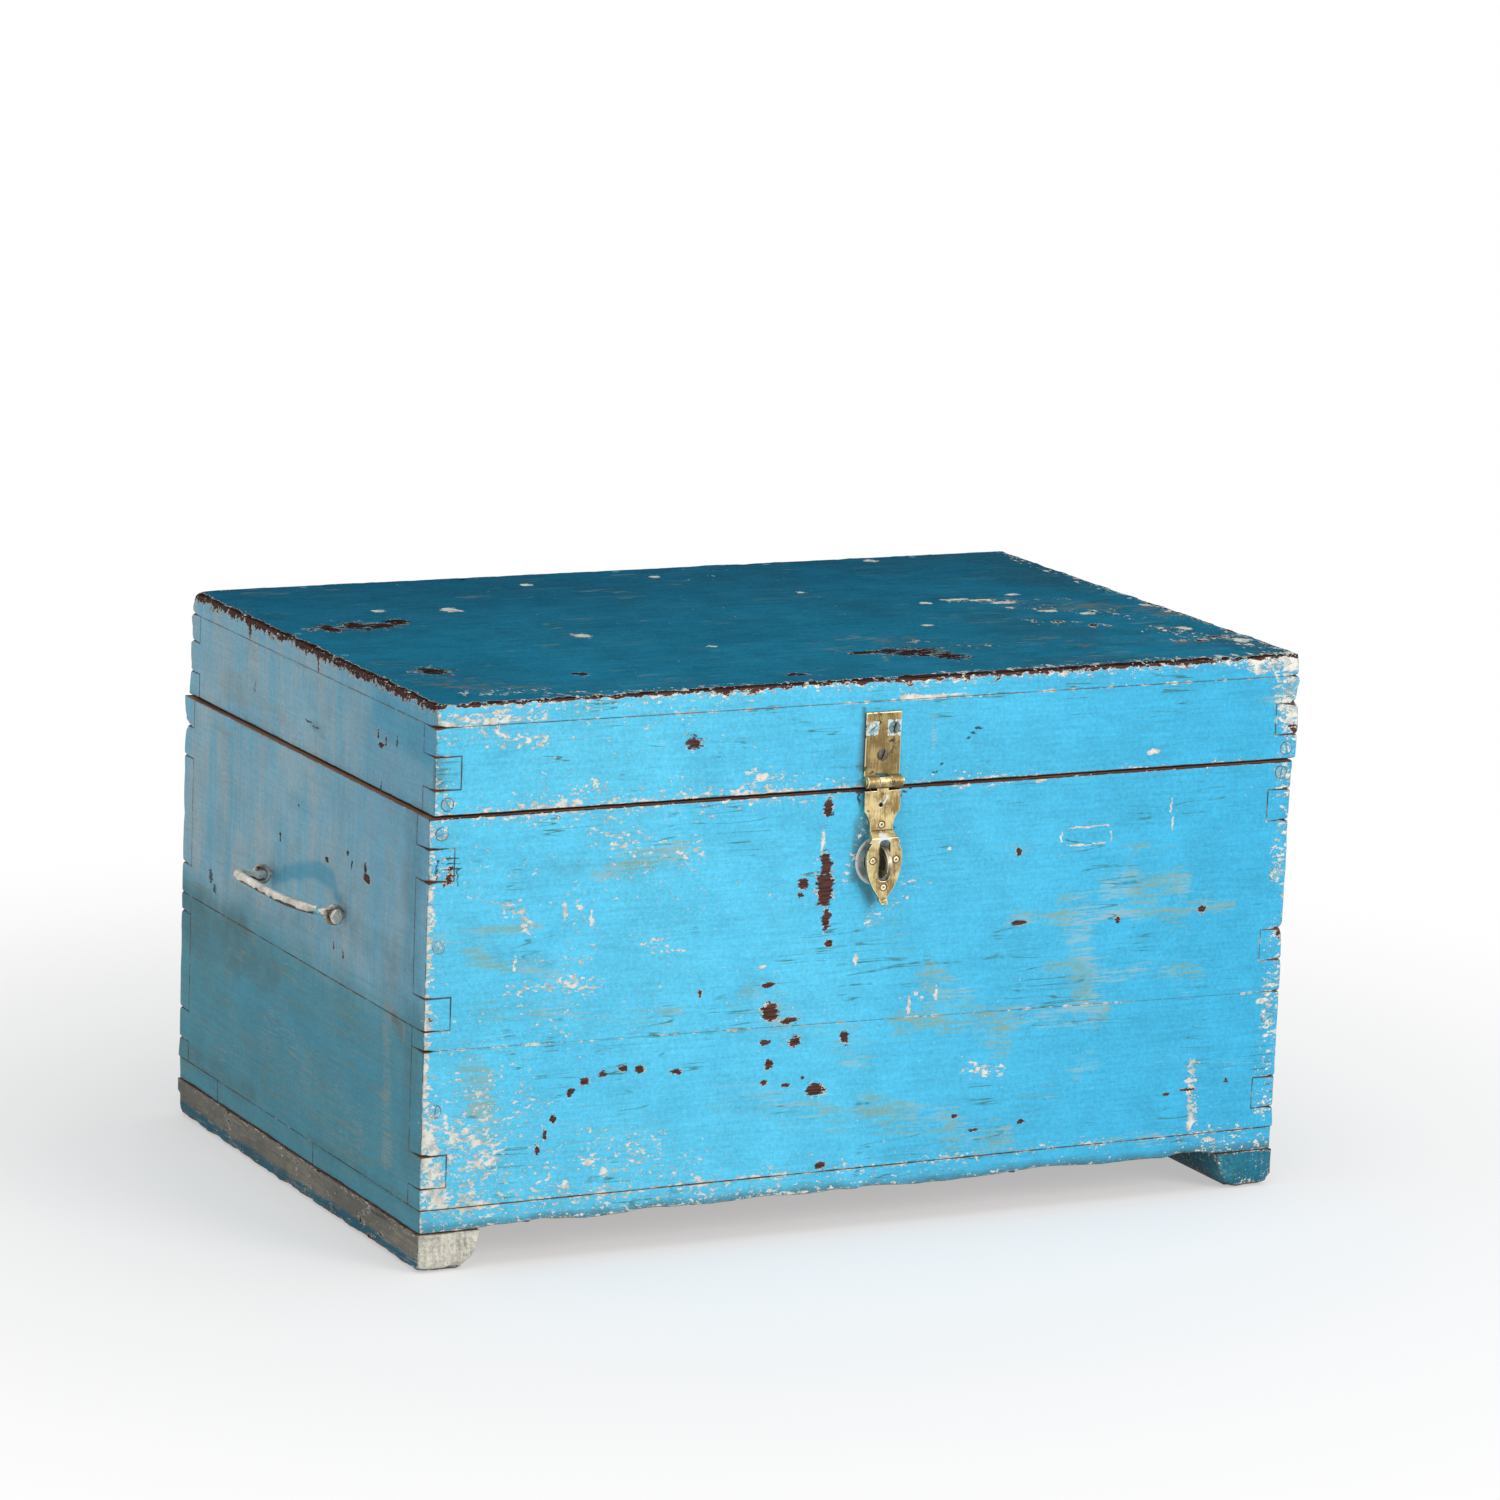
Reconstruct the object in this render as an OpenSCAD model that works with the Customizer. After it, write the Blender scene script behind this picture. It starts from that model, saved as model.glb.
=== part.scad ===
// Antique wooden trunk with a shallow hinged lid, a brass hasp over a staple and an iron drop
// handle on each end. The front faces -Y, +Z is up, and left and right are as seen from the front.
// The origin is on the floor, under the middle of the whole object.

/* [Trunk] */
// Width of the trunk across its front
trunk_w = 800; // [600:5:1000]
// Depth of the trunk from front to back
trunk_d = 525; // [420:5:700]
// Height of the walls, from the bottom boards to the lid
body_h = 322; // [300:1:450]
// Thickness of the wall boards and of the lid's rails
wall_t = 23; // [20:0.5:28]
// Rounding of the upright corners
corner_r = 3; // [1:0.5:6]
// Rounding of the outer edges along the lid seam and the foot of the walls
edge_r = 2; // [0.5:0.25:4]

/* [Board joints] */
// Height of the lower front board at its left end
front_seam_left = 132; // [110:1:140]
// Height of the lower front board at its right end
front_seam_right = 120; // [110:1:140]
// Height of the lower board of each end
end_seam = 148; // [140:1:170]
// Height of each finger of the end boards
pin_h = 27; // [18:1:30]
// From the top of the walls down to the upper finger
pin_drop = 25; // [20:1:34]
// From the foot of the walls up to the lower finger
pin_rise = 18; // [10:1:40]

/* [Bottom] */
// Thickness of the bottom boards
bottom_t = 20; // [14:0.5:28]
// How far the bottom boards' edges lie inside the walls' faces
bottom_inset = 1; // [0:0.5:4]
// Width of the front bottom board
bottom_front_w = 222; // [150:1:260]
// Width of the rear bottom board
bottom_rear_w = 90; // [60:1:120]

/* [Runners] */
// Height of the two runners that the trunk stands on
runner_h = 32; // [26:1:60]
// Width of each runner
runner_w = 54; // [45:1:80]
// How far a runner's inner face curves in towards the floor
runner_inner_wear = 16; // [4:1:24]
// Rounding of a runner's outer lower edge
runner_outer_r = 8; // [3:1:16]
// Rounding of a runner's rear lower end
runner_tail_r = 20; // [4:1:24]
// Rounding of a runner's front lower end
runner_nose_r = 8; // [3:1:20]

/* [Lid] */
// Height of the lid's rails
lid_h = 71.5; // [68:0.5:110]
// Thickness of the lid's top board
top_t = 19; // [14:0.5:28]
// Rounding of the top board's upper edges
top_r = 5; // [2:0.5:8]
// Gap between the walls and the closed lid
seam_gap = 1.2; // [0.8:0.1:2]
// How far the lid sits to the right of the walls
lid_shift = 4; // [0:0.5:6]
// From the lid's lower edge up to its fingers
lid_pin_rise = 21; // [18:1:30]

/* [Lid hinges] */
// Distance of each hinge's middle from the trunk's middle
hinge_x = 250; // [120:5:280]
// Length of each hinge
hinge_w = 75; // [50:1:100]
// Thickness of a hinge leaf
hinge_leaf_t = 2.4; // [1.6:0.1:3]
// How far a hinge leaf reaches into the wall
hinge_leaf_d = 18; // [14:0.5:19]
// Outer diameter of a hinge barrel
hinge_barrel_d = 10; // [9:0.5:13]
// Diameter of a hinge pin
hinge_pin_d = 5; // [3.5:0.25:5.5]
// Number of knuckles on a hinge, an odd number
hinge_knuckles = 5; // [3:2:7]

/* [Hasp] */
// Distance of the hasp from the trunk's middle, to the right
hasp_x = 3.5; // [-40:0.5:40]
// Width of the hasp's fixed leaf and of the top of its strap
hasp_w = 33; // [30:0.5:44]
// Height of the fixed leaf above the hasp's pin
leaf_h = 57.5; // [56:0.5:61]
// Thickness of the fixed leaf
leaf_t = 2; // [1.5:0.1:2.5]
// Height of the hasp's pin above the lid's lower edge
hasp_rise = 5.5; // [5:0.1:7]
// Outer diameter of the hasp's knuckles
hasp_barrel_d = 10; // [9.5:0.5:10.5]
// Diameter of the hasp's pin
hasp_pin_d = 5; // [3:0.25:5.5]
// Thickness of the strap
strap_t = 3.2; // [2:0.1:3.6]
// Gap between the strap and the front boards
strap_stand = 2; // [0.8:0.1:2.5]
// Gap between the strap's shoulders and the knuckles above them
strap_gap = 2.7; // [0.6:0.1:3]
// From the pin down to the narrowest place of the strap's neck
neck_drop = 39; // [38:0.5:40]
// Width of the strap at its neck
neck_w = 21.4; // [17:0.2:26]
// Radius of the neck's scooped sides
neck_side_r = 20.5; // [18:0.5:26]
// From the pin down to the tips of the strap's shoulders
shoulder_drop = 50.3; // [49:0.1:52]
// From the pin down to where the strap bends out over the staple
bend_drop = 42; // [40:0.5:43]
// From the pin down to where the bend ends
bend_end_drop = 47; // [46:0.25:47.5]
// How far the strap's shield stands off the front
shield_stand = 9.5; // [9:0.5:12]
// Width of the shield at its widest
shield_w = 33; // [31:0.5:38]
// From the pin down to the shield's widest place
shield_drop = 62; // [61:0.5:64]
// From the shield's widest place down to where its sides would meet
shield_point = 38; // [37.5:0.5:42]
// Radius of the rounded tip below the shield
finial_r = 4; // [3.5:0.1:4.5]
// How far the tip curls out from the shield
finial_curl = 4; // [0:0.5:5]
// Diameter of the rings punched in the strap
punch_d = 5.4; // [4:0.2:6]
// Depth of the punched rings and dots
punch_deep = 0.3; // [0.1:0.1:0.5]
// Diameter of the small hole in the strap
strap_hole_d = 4; // [2:0.2:5]

/* [Staple] */
// From the top of the walls down to the middle of the staple
staple_drop = 60.5; // [59.5:0.5:61.5]
// Outer height of the staple's loop
staple_h = 26.5; // [25:0.5:27]
// Width of the staple's bar across the trunk
staple_w = 4.5; // [3.5:0.25:6]
// Thickness of the staple's two legs
staple_leg_t = 6.25; // [4.5:0.25:7]
// Thickness of the staple at its front
staple_front_t = 4; // [3:0.25:5]
// How far the staple stands out from the front
staple_out = 23; // [22:0.5:32]
// Thickness of the legs where they are clenched inside
clench_t = 3; // [2:0.25:4]
// Length of each clenched end
clench_l = 14; // [8:1:20]
// Diameter of the round plate under the staple
plate_d = 42; // [36:1:46]
// Thickness of the round plate
plate_t = 1.5; // [1:0.1:2]
// Room in the slot above the staple
slot_room_above = 6.3; // [4:0.1:6.5]
// Room in the slot below the staple
slot_room_below = 1.7; // [1.5:0.1:4]
// Room in the slot at each side of the staple
slot_side_room = 2.8; // [2:0.1:3.8]

/* [Handles] */
// Height of the handles' pivots above the foot of the walls
handle_rise = 208; // [190:1:260]
// How far the handles sit in front of the trunk's middle
handle_forward = 19; // [-60:1:60]
// Distance between the two eyes of a handle
eye_pitch = 156; // [120:1:200]
// Diameter of the bar that each eye is forged from
eye_bar_d = 4.8; // [4:0.2:6]
// Diameter of the hole in an eye
eye_hole_d = 8.4; // [8.3:0.1:9]
// Diameter of an eye's shank
eye_shank_d = 5.2; // [4:0.2:6]
// Diameter of a handle's bar
bar_d = 7.5; // [6:0.1:7.6]
// From the pivot out to the middle of the hand grip
handle_reach = 30; // [26:1:40]
// Bend where each arm turns into its eye
elbow_r = 7; // [5:0.5:8]
// Bend between an arm and the hand grip
grip_r = 16; // [10:1:18]
// Diameter of the upset ends that keep the handle in its eyes
knob_d = 13; // [10:0.5:14]
// Length of each upset end
knob_l = 4; // [2.5:0.5:6]
// Angle of the handles above level, as they stand
handle_lift = 11; // [-30:1:40]
// Diameter of the washers inside the end boards
burr_d = 16; // [12:0.5:20]
// Thickness of the washers
burr_t = 1.5; // [1:0.1:2.5]

/* [Fixings] */
// Head diameter of the corner screws
corner_head_d = 11.5; // [9:0.5:13]
// Shank diameter of the corner screws
corner_shank_d = 5; // [4:0.25:6]
// Length of the corner screws
corner_screw_l = 50; // [40:1:60]
// From the top of the walls down to the highest corner screw at the left
left_screw_high = 13; // [8:1:18]
// From the top of the walls down to the middle corner screw at the left
left_screw_middle = 105; // [75:1:120]
// From the top of the walls down to the lowest corner screw at the left
left_screw_low = 240; // [200:1:250]
// From the top of the walls down to the highest corner screw at the right
right_screw_high = 10; // [8:1:18]
// From the top of the walls down to the middle corner screw at the right
right_screw_middle = 99; // [75:1:120]
// From the top of the walls down to the lowest corner screw at the right
right_screw_low = 225; // [200:1:250]
// From the lid's lower edge up to its corner screws
lid_screw_rise = 9.5; // [8:0.5:11]
// Head diameter of the screws in the hasp and the hinges
small_head_d = 9.5; // [7:0.5:10.5]
// Shank diameter of the screws in the hasp and the hinges
small_shank_d = 4; // [3:0.25:5]
// Length of the screws in the hasp and the hinges
small_screw_l = 19; // [14:1:21]
// Distance between the two upper screws of the hasp
hasp_screw_pitch = 20; // [16:0.5:21]
// From the hasp's pin up to its two upper screws
hasp_screw_upper = 44; // [40:0.5:46]
// From the hasp's pin up to its lower screw
hasp_screw_lower = 21.6; // [18:0.5:26]
// Head diameter of the nails
nail_head_d = 7; // [5:0.5:9]
// Shank diameter of the nails
nail_d = 3.4; // [2.5:0.1:4]
// Length of the nails
nail_l = 52; // [40:1:60]
// Distance between nails along the long sides
nail_pitch = 150; // [100:5:180]
// Depth of the holes that the runners' screw heads lie in
runner_sink = 10; // [6:1:14]

/* [Hidden] */
$fn = 48;

// Clearance of a pin in its knuckles, on the radius
pin_clear = 0.05;
// Gap between neighbouring knuckles
knuckle_gap = 0.4;
// Clearance of a barrel or strap from the wood beside it
stand_clear = 0.5;
// Clearance of a screw, nail or shank in its hole, on the radius
fit_clear = 0.1;
// Clearance of a handle's elbows and ends from the sides of its eyes
side_room = 0.6;
// Overshoot of a cut past the face that it starts from
past = 1;

// Paint, wood and metal, as the photo shows them
front_blue = [0.36, 0.76, 0.92];
end_blue = [0.42, 0.62, 0.72];
top_teal = [0.13, 0.41, 0.54];
runner_grey = [0.56, 0.58, 0.54];
brass = [0.72, 0.6, 0.36];
iron = [0.66, 0.64, 0.6];
steel = [0.45, 0.45, 0.44];

// Heights from the floor
z_wall = runner_h + bottom_t;
z_seam = z_wall + body_h;
z_lid = z_seam + seam_gap;
z_top = z_lid + lid_h;
z_end_seam = z_wall + end_seam;

// The staple reaches furthest forward and the hinge barrels furthest back
finial_out = shield_stand + strap_t + finial_curl;
front_reach = max(staple_out, finial_out);
back_reach = stand_clear + hinge_barrel_d;
body_y = (front_reach - back_reach) / 2;
y_front = body_y - trunk_d / 2;
y_back = body_y + trunk_d / 2;

// The runners' curved inner sides, centred just above their tops, and the screws that hold them
runner_inner_z = runner_h + past;
runner_inner_r = (pow(runner_inner_z, 2) + pow(runner_inner_wear, 2)) / (2 * runner_inner_wear);
runner_screw_l = runner_h - runner_sink + bottom_t * 0.8;

// Middle of the end walls' thickness, from the trunk's middle
screw_x = trunk_w / 2 - wall_t / 2;

// Fingers of the end boards, each as its lower and upper height
upper_pins = [
    [z_end_seam, z_end_seam + pin_h],
    [z_seam - pin_drop - pin_h, z_seam - pin_drop]
];
lower_pins = [[z_wall + pin_rise, z_wall + pin_rise + pin_h]];
lid_pins = [[z_lid + lid_pin_rise, z_lid + lid_pin_rise + pin_h]];

// Hinge axis of the lid
hinge_y = y_back + stand_clear + hinge_barrel_d / 2;
hinge_z = z_seam + seam_gap / 2;
knuckle_w = hinge_w / hinge_knuckles;

// Hinge axis of the hasp, and the strap's places measured from it
hasp_out = hasp_barrel_d / 2 + stand_clear;
hasp_y = y_front - hasp_out;
hasp_z = z_lid + hasp_rise;
hasp_knuckle_w = hasp_w / 3;
staple_z = z_seam - staple_drop;
slot_top_drop = hasp_z - staple_z - staple_h / 2 - slot_room_above;
slot_h = staple_h + slot_room_above + slot_room_below;
slot_w = staple_w + 2 * slot_side_room;
near_y = hasp_out - strap_stand - strap_t / 2;
far_y = hasp_out - shield_stand - strap_t / 2;
shield_side_r = (pow(shield_point, 2) + pow(shield_w / 2, 2)) / shield_w;
finial_drop = shield_drop + shield_point - finial_r / 2;
bend_angle = atan2(near_y - far_y, bend_end_drop - bend_drop);
curl_angle = atan2(finial_curl, finial_r);

// Pivot of the handles
handle_z = z_wall + handle_rise;
handle_y = body_y - handle_forward;
eye_ring_r = (eye_hole_d + eye_bar_d) / 2;
eye_stand = eye_hole_d / 2 + eye_bar_d + fit_clear;
shank_l = eye_stand - eye_ring_r + wall_t + burr_t;

// A square corner's waste, for rounding the corner at the origin of a profile
module corner_waste(r) {
    difference() {
        translate([-past, -past])
            square([r + past, r + past]);
        translate([r, r])
            circle(r);
    }
}

// The same waste for an end worn round, whose curve meets both faces at a slight angle
module worn_waste(r) {
    difference() {
        translate([-past, -past])
            square([r + past, r + past]);
        translate([r, r])
            circle(r * 1.02);
    }
}

// A profile w wide and h high, centred on x, with its lower and upper corners rounded
module soft_profile(w, h, low_r, high_r) {
    difference() {
        translate([-w / 2, 0])
            square([w, h]);
        for (side = [0, 1]) {
            mirror([side, 0]) {
                translate([-w / 2, 0])
                    corner_waste(low_r);
                translate([-w / 2, h])
                    mirror([0, 1])
                        corner_waste(high_r);
            }
        }
    }
}

// Extrudes a profile of x and z along Y, from y0
module along_y(y0, length) {
    translate([0, y0 + length, 0])
        rotate([90, 0, 0])
            linear_extrude(length)
                children();
}

// Extrudes a profile of y and z along X, from x0
module along_x(x0, length) {
    translate([x0, 0, 0])
        rotate([90, 0, 90])
            linear_extrude(length)
                children();
}

// A cylinder along X, centred on the axis, from x0
module rod_x(x0, length, d) {
    translate([x0, 0, 0])
        rotate([0, 90, 0])
            cylinder(h = length, d = d);
}

// The outer form of a box of boards, with its corners and edges rounded
module soft_box(w, d, h, low_r, high_r) {
    intersection() {
        translate([-w / 2, -d / 2, 0])
            linear_extrude(h)
                translate([w / 2, 0])
                    soft_profile(w, d, corner_r, corner_r);
        along_y(-d / 2 - past, d + 2 * past)
            soft_profile(w, h, low_r, high_r);
        along_x(-w / 2 - past, w + 2 * past)
            soft_profile(d, h, low_r, high_r);
    }
}

// Keeps what lies within the walls' rounded outer form
module in_body() {
    intersection() {
        children();
        translate([0, body_y, z_wall])
            soft_box(trunk_w, trunk_d, body_h, edge_r, edge_r);
    }
}

// Keeps what lies within the lid's rounded outer form
module in_lid() {
    intersection() {
        children();
        translate([lid_shift, body_y, z_lid])
            soft_box(trunk_w, trunk_d, lid_h + top_t, edge_r, top_r);
    }
}

// The fingers of an end board, or the room for them, on one end of the trunk
module fingers(bands, side, shift = 0) {
    x = shift + side * trunk_w / 2 - (side > 0 ? wall_t : 0);
    for (band = bands)
        translate([x, y_front, band[0]])
            cube([wall_t, trunk_d, band[1] - band[0]]);
}

// A board between the front and back ones, with fingers through both
module end_board(side, z0, z1, bands, shift = 0) {
    x = shift + side * trunk_w / 2 - (side > 0 ? wall_t : 0);
    translate([x, y_front + wall_t, z0])
        cube([wall_t, trunk_d - 2 * wall_t, z1 - z0]);
    fingers(bands, side, shift);
}

// The upper or lower board of the front or back, with its sloping seam
module long_board(y0, upper) {
    left = z_wall + front_seam_left;
    right = z_wall + front_seam_right;
    half = trunk_w / 2;
    difference() {
        along_y(y0, wall_t) {
            if (upper)
                polygon([[-half, left], [half, right], [half, z_seam], [-half, z_seam]]);
            else
                polygon([[-half, z_wall], [half, z_wall], [half, right], [-half, left]]);
        }
        for (side = [-1, 1])
            fingers(concat(upper_pins, lower_pins), side);
    }
}

// A countersunk screw pointing down, its head flush at the origin
module screw_form(head_d, shank_d, length, clear = 0) {
    head_h = (head_d - shank_d) / 2;
    tip_h = shank_d;
    translate([0, 0, -head_h - clear])
        cylinder(h = head_h + clear, d1 = shank_d + 2 * clear, d2 = head_d + 2 * clear);
    translate([0, 0, tip_h - length - clear])
        cylinder(h = length - tip_h, d = shank_d + 2 * clear);
    translate([0, 0, -length - clear])
        cylinder(h = tip_h, d1 = shank_d / 3 + 2 * clear, d2 = shank_d + 2 * clear);
}

// The same screw with its driver slot
module screw(head_d, shank_d, length) {
    slot_t = head_d / 9;
    difference() {
        screw_form(head_d, shank_d, length);
        translate([-head_d, -slot_t / 2, -slot_t])
            cube([2 * head_d, slot_t, 2 * slot_t]);
    }
}

// The hole for a screw, with a bore of the head's size that runs out past the surface
module screw_room(head_d, shank_d, length, out = past) {
    screw_form(head_d, shank_d, length, fit_clear);
    cylinder(h = out, d = head_d + 2 * fit_clear);
}

// A nail pointing down, its thin head flush at the origin
module nail(clear = 0) {
    head_h = nail_d / 3;
    translate([0, 0, -nail_l])
        cylinder(h = nail_l, d = nail_d + 2 * clear);
    translate([0, 0, -head_h - clear])
        cylinder(h = head_h + clear, d = nail_head_d + 2 * clear);
}

// Places its children on the front and back faces at x and z, pointing outwards
module at_faces(x, z) {
    translate([x, y_front, z])
        rotate([90, 0, 0])
            children();
    translate([x, y_back, z])
        rotate([-90, 0, 0])
            children();
}

// Places its children at the walls' corner screws, pointing outwards
module at_body_screws() {
    for (drop = [left_screw_high, left_screw_middle, left_screw_low])
        at_faces(-screw_x, z_seam - drop)
            children();
    for (drop = [right_screw_high, right_screw_middle, right_screw_low])
        at_faces(screw_x, z_seam - drop)
            children();
}

// Places its children at the lid's corner screws, pointing outwards
module at_lid_screws() {
    for (side = [-1, 1])
        at_faces(lid_shift + side * screw_x, z_lid + lid_screw_rise)
            children();
}

module corner_screw_room() {
    screw_room(corner_head_d, corner_shank_d, corner_screw_l);
}

// Places its children over the middle of the walls' thickness, along all four sides
module along_walls() {
    count = floor((trunk_w / 2 - nail_pitch / 2) / nail_pitch);
    for (i = [-count : count])
        for (y = [y_front + wall_t / 2, y_back - wall_t / 2])
            translate([i * nail_pitch, y, 0])
                children();
    for (side = [-1, 1])
        for (i = [-1, 1])
            translate([side * screw_x, body_y + i * nail_pitch / 3, 0])
                children();
}

// Places its children at the three screws of each runner, pointing down
module at_runner_screws() {
    for (side = [-1, 1])
        for (i = [-1, 0, 1])
            translate([side * (trunk_w - runner_w) / 2, body_y + i * trunk_d / 3, runner_sink])
                rotate([180, 0, 0])
                    children();
}

module runner_screw_room() {
    screw_room(corner_head_d, corner_shank_d, runner_screw_l, runner_sink + past);
}

// Places its children at the lid hinges, on the hinge axis
module at_hinges() {
    for (side = [-1, 1])
        translate([side * hinge_x, hinge_y, hinge_z])
            children();
}

// Places its children at a hinge leaf's three screws, in the middle of the leaf
module at_leaf_screws() {
    for (i = [-1, 0, 1])
        translate([
            i * hinge_w / 3,
            -stand_clear - (hinge_barrel_d + hinge_leaf_d) / 2,
            -seam_gap / 2
        ])
            children();
}

module small_screw_room() {
    screw_room(small_head_d, small_shank_d, small_screw_l);
}

// The pocket for a hinge leaf in the edge of the wall, below the hinge axis
module leaf_pocket() {
    translate([
        -hinge_w / 2 - fit_clear,
        -stand_clear - hinge_barrel_d / 2 - hinge_leaf_d - fit_clear,
        -seam_gap / 2 - hinge_leaf_t
    ])
        cube([hinge_w + 2 * fit_clear, hinge_leaf_d + fit_clear + past, hinge_leaf_t + past]);
    at_leaf_screws()
        small_screw_room();
}

// A hinge leaf below the axis; the first knuckle is 0 for the wall's leaf and 1 for the lid's
module hinge_leaf(first) {
    reach = hinge_barrel_d / 2 + stand_clear;
    difference() {
        union() {
            translate([-hinge_w / 2, -reach - hinge_leaf_d, -seam_gap / 2 - hinge_leaf_t])
                cube([hinge_w, hinge_leaf_d, hinge_leaf_t]);
            for (i = [first : 2 : hinge_knuckles - 1]) {
                start = i * knuckle_w - hinge_w / 2 + knuckle_gap / 2;
                rod_x(start, knuckle_w - knuckle_gap, hinge_barrel_d);
                translate([start, -reach - past, -seam_gap / 2 - hinge_leaf_t])
                    cube([knuckle_w - knuckle_gap, reach + past, hinge_leaf_t]);
            }
        }
        rod_x(-hinge_w, 2 * hinge_w, hinge_pin_d + 2 * pin_clear);
        at_leaf_screws()
            small_screw_room();
    }
}

// Places its children at the hasp's pin, in the middle of the hasp
module at_hasp() {
    translate([hasp_x, hasp_y, hasp_z])
        children();
}

// Places its children at the hasp's three screws, pointing forward
module at_hasp_screws() {
    spots = [
        [-hasp_screw_pitch / 2, hasp_screw_upper],
        [hasp_screw_pitch / 2, hasp_screw_upper],
        [0, hasp_screw_lower]
    ];
    at_hasp()
        for (spot = spots)
            translate([spot[0], hasp_out - leaf_t, spot[1]])
                rotate([90, 0, 0])
                    children();
}

// One edge of the strap's side view, from the pin down: side is 1 at the back, -1 at the front
function strap_edge(side) = [
    [near_y + side * strap_t / 2, 0],
    [near_y + side * strap_t / 2, -bend_drop - side * strap_t / 2 * tan(bend_angle / 2)],
    [far_y + side * strap_t / 2, -bend_end_drop - side * strap_t / 2 * tan(bend_angle / 2)],
    [far_y + side * strap_t / 2, -finial_drop - side * strap_t / 2 * tan(curl_angle / 2)],
    [
        far_y - finial_curl + side * strap_t / 2 * cos(curl_angle),
        -finial_drop - finial_r - side * strap_t / 2 * sin(curl_angle)
    ]
];

// The strap from the side: flat to the wall, out over the staple, and curled at its tip
module strap_side() {
    front = strap_edge(-1);
    polygon(concat(strap_edge(1), [for (i = [len(front) - 1 : -1 : 0]) front[i]]));
}

// The strap from the front: a plate with a waisted neck, a shield and a rounded tip
module strap_front() {
    top = hasp_barrel_d / 2 + strap_gap;
    difference() {
        translate([-hasp_w / 2, -shoulder_drop])
            square([hasp_w, shoulder_drop - top]);
        for (side = [-1, 1])
            translate([side * (neck_w / 2 + neck_side_r), -neck_drop])
                circle(neck_side_r);
    }
    translate([knuckle_gap / 2 - hasp_knuckle_w / 2, -top - past])
        square([hasp_knuckle_w - knuckle_gap, top + past]);
    shield_outline();
    translate([0, -finial_drop])
        circle(finial_r);
}

// The shield: half a disc above its widest place, two long curves running to a point below it
module shield_outline() {
    intersection() {
        translate([0, -shield_drop])
            circle(shield_w / 2);
        translate([-shield_w, -shield_drop])
            square([2 * shield_w, shield_w]);
    }
    intersection() {
        translate([-shield_w, -shield_drop - shield_w * 2])
            square([2 * shield_w, shield_w * 2]);
        translate([shield_side_r - shield_w / 2, -shield_drop])
            circle(shield_side_r);
        translate([shield_w / 2 - shield_side_r, -shield_drop])
            circle(shield_side_r);
    }
}

// A ring and dot, sunk into a face that looks forward
module punch_mark() {
    ring_w = punch_d / 8;
    rotate([90, 0, 0]) {
        difference() {
            translate([0, 0, -punch_deep])
                cylinder(h = punch_deep + past, d = punch_d);
            translate([0, 0, -punch_deep - past])
                cylinder(h = punch_deep + 3 * past, d = punch_d - 2 * ring_w);
        }
        translate([0, 0, -punch_deep])
            cylinder(h = punch_deep + past, d = punch_d / 3);
    }
}

// The four punched rings, one on the neck and three round the slot
module punch_marks() {
    side_x = (shield_w + slot_w) / 4;
    translate([0, near_y - strap_t / 2, -neck_drop + punch_d / 2])
        punch_mark();
    translate([0, far_y - strap_t / 2, 0]) {
        for (side = [-1, 1])
            translate([side * side_x, 0, -shield_drop - punch_d / 2])
                punch_mark();
        translate([0, 0, -slot_top_drop - slot_h - punch_d])
            punch_mark();
    }
}

// The small hole with a slit running up from it, as seen from the front
module strap_hole() {
    translate([-strap_hole_d / 3, -neck_drop / 2]) {
        circle(d = strap_hole_d);
        rotate(56)
            translate([0, -strap_hole_d / 8])
                square([strap_hole_d * 2, strap_hole_d / 4]);
    }
}

// The slot that goes over the staple
module strap_slot() {
    r = slot_w / 2.5;
    translate([0, -slot_top_drop - slot_h])
        soft_profile(slot_w, slot_h, r, r);
}

// The staple from the side, with y outwards negative from the front's face and z from its middle
module staple_side() {
    hole_r = staple_h / 2 - staple_leg_t;
    difference() {
        union() {
            translate([-staple_out + staple_h / 2, 0])
                circle(staple_h / 2);
            translate([-staple_out + staple_h / 2, -staple_h / 2])
                square([staple_out - staple_h / 2 + wall_t + clench_t, staple_h]);
            translate([wall_t, -staple_h / 2 - clench_l])
                square([clench_t, staple_h + 2 * clench_l]);
        }
        translate([-staple_out + staple_front_t + hole_r, 0])
            circle(hole_r);
        translate([-staple_out + staple_front_t + hole_r, -hole_r])
            square([staple_out + wall_t + clench_t, 2 * hole_r]);
    }
}

// Room for the staple's two legs in what they pass through
module staple_room() {
    for (side = [0, 1])
        translate([hasp_x, y_front, staple_z])
            mirror([0, 0, side])
                translate([
                    -staple_w / 2 - fit_clear,
                    -plate_t - past,
                    staple_h / 2 - staple_leg_t - fit_clear
                ])
                    cube([
                        staple_w + 2 * fit_clear,
                        wall_t + plate_t + 2 * past,
                        staple_leg_t + 2 * fit_clear
                    ]);
}

// Places its children at the two eyes of the right or left handle, pointing outwards along X
module at_eyes(side) {
    for (end = [-1, 1])
        mirror([side < 0 ? 1 : 0, 0, 0])
            translate([trunk_w / 2 + eye_stand, handle_y + end * eye_pitch / 2, handle_z])
                children();
}

// A forged ring on a shank that goes through the end board and is peened over a washer
module eye() {
    peen_h = eye_shank_d / 2;
    rotate([90, 0, 0])
        rotate_extrude()
            translate([eye_ring_r, 0])
                circle(d = eye_bar_d);
    rod_x(-eye_ring_r - shank_l, shank_l, eye_shank_d);
    translate([-eye_ring_r - shank_l, 0, 0])
        rotate([0, -90, 0])
            cylinder(h = peen_h, d1 = eye_shank_d * 1.7, d2 = eye_shank_d);
}

// Room for an eye's shank
module shank_room() {
    rod_x(-eye_stand - wall_t - past, wall_t + 2 * past, eye_shank_d + 2 * fit_clear);
}

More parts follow.
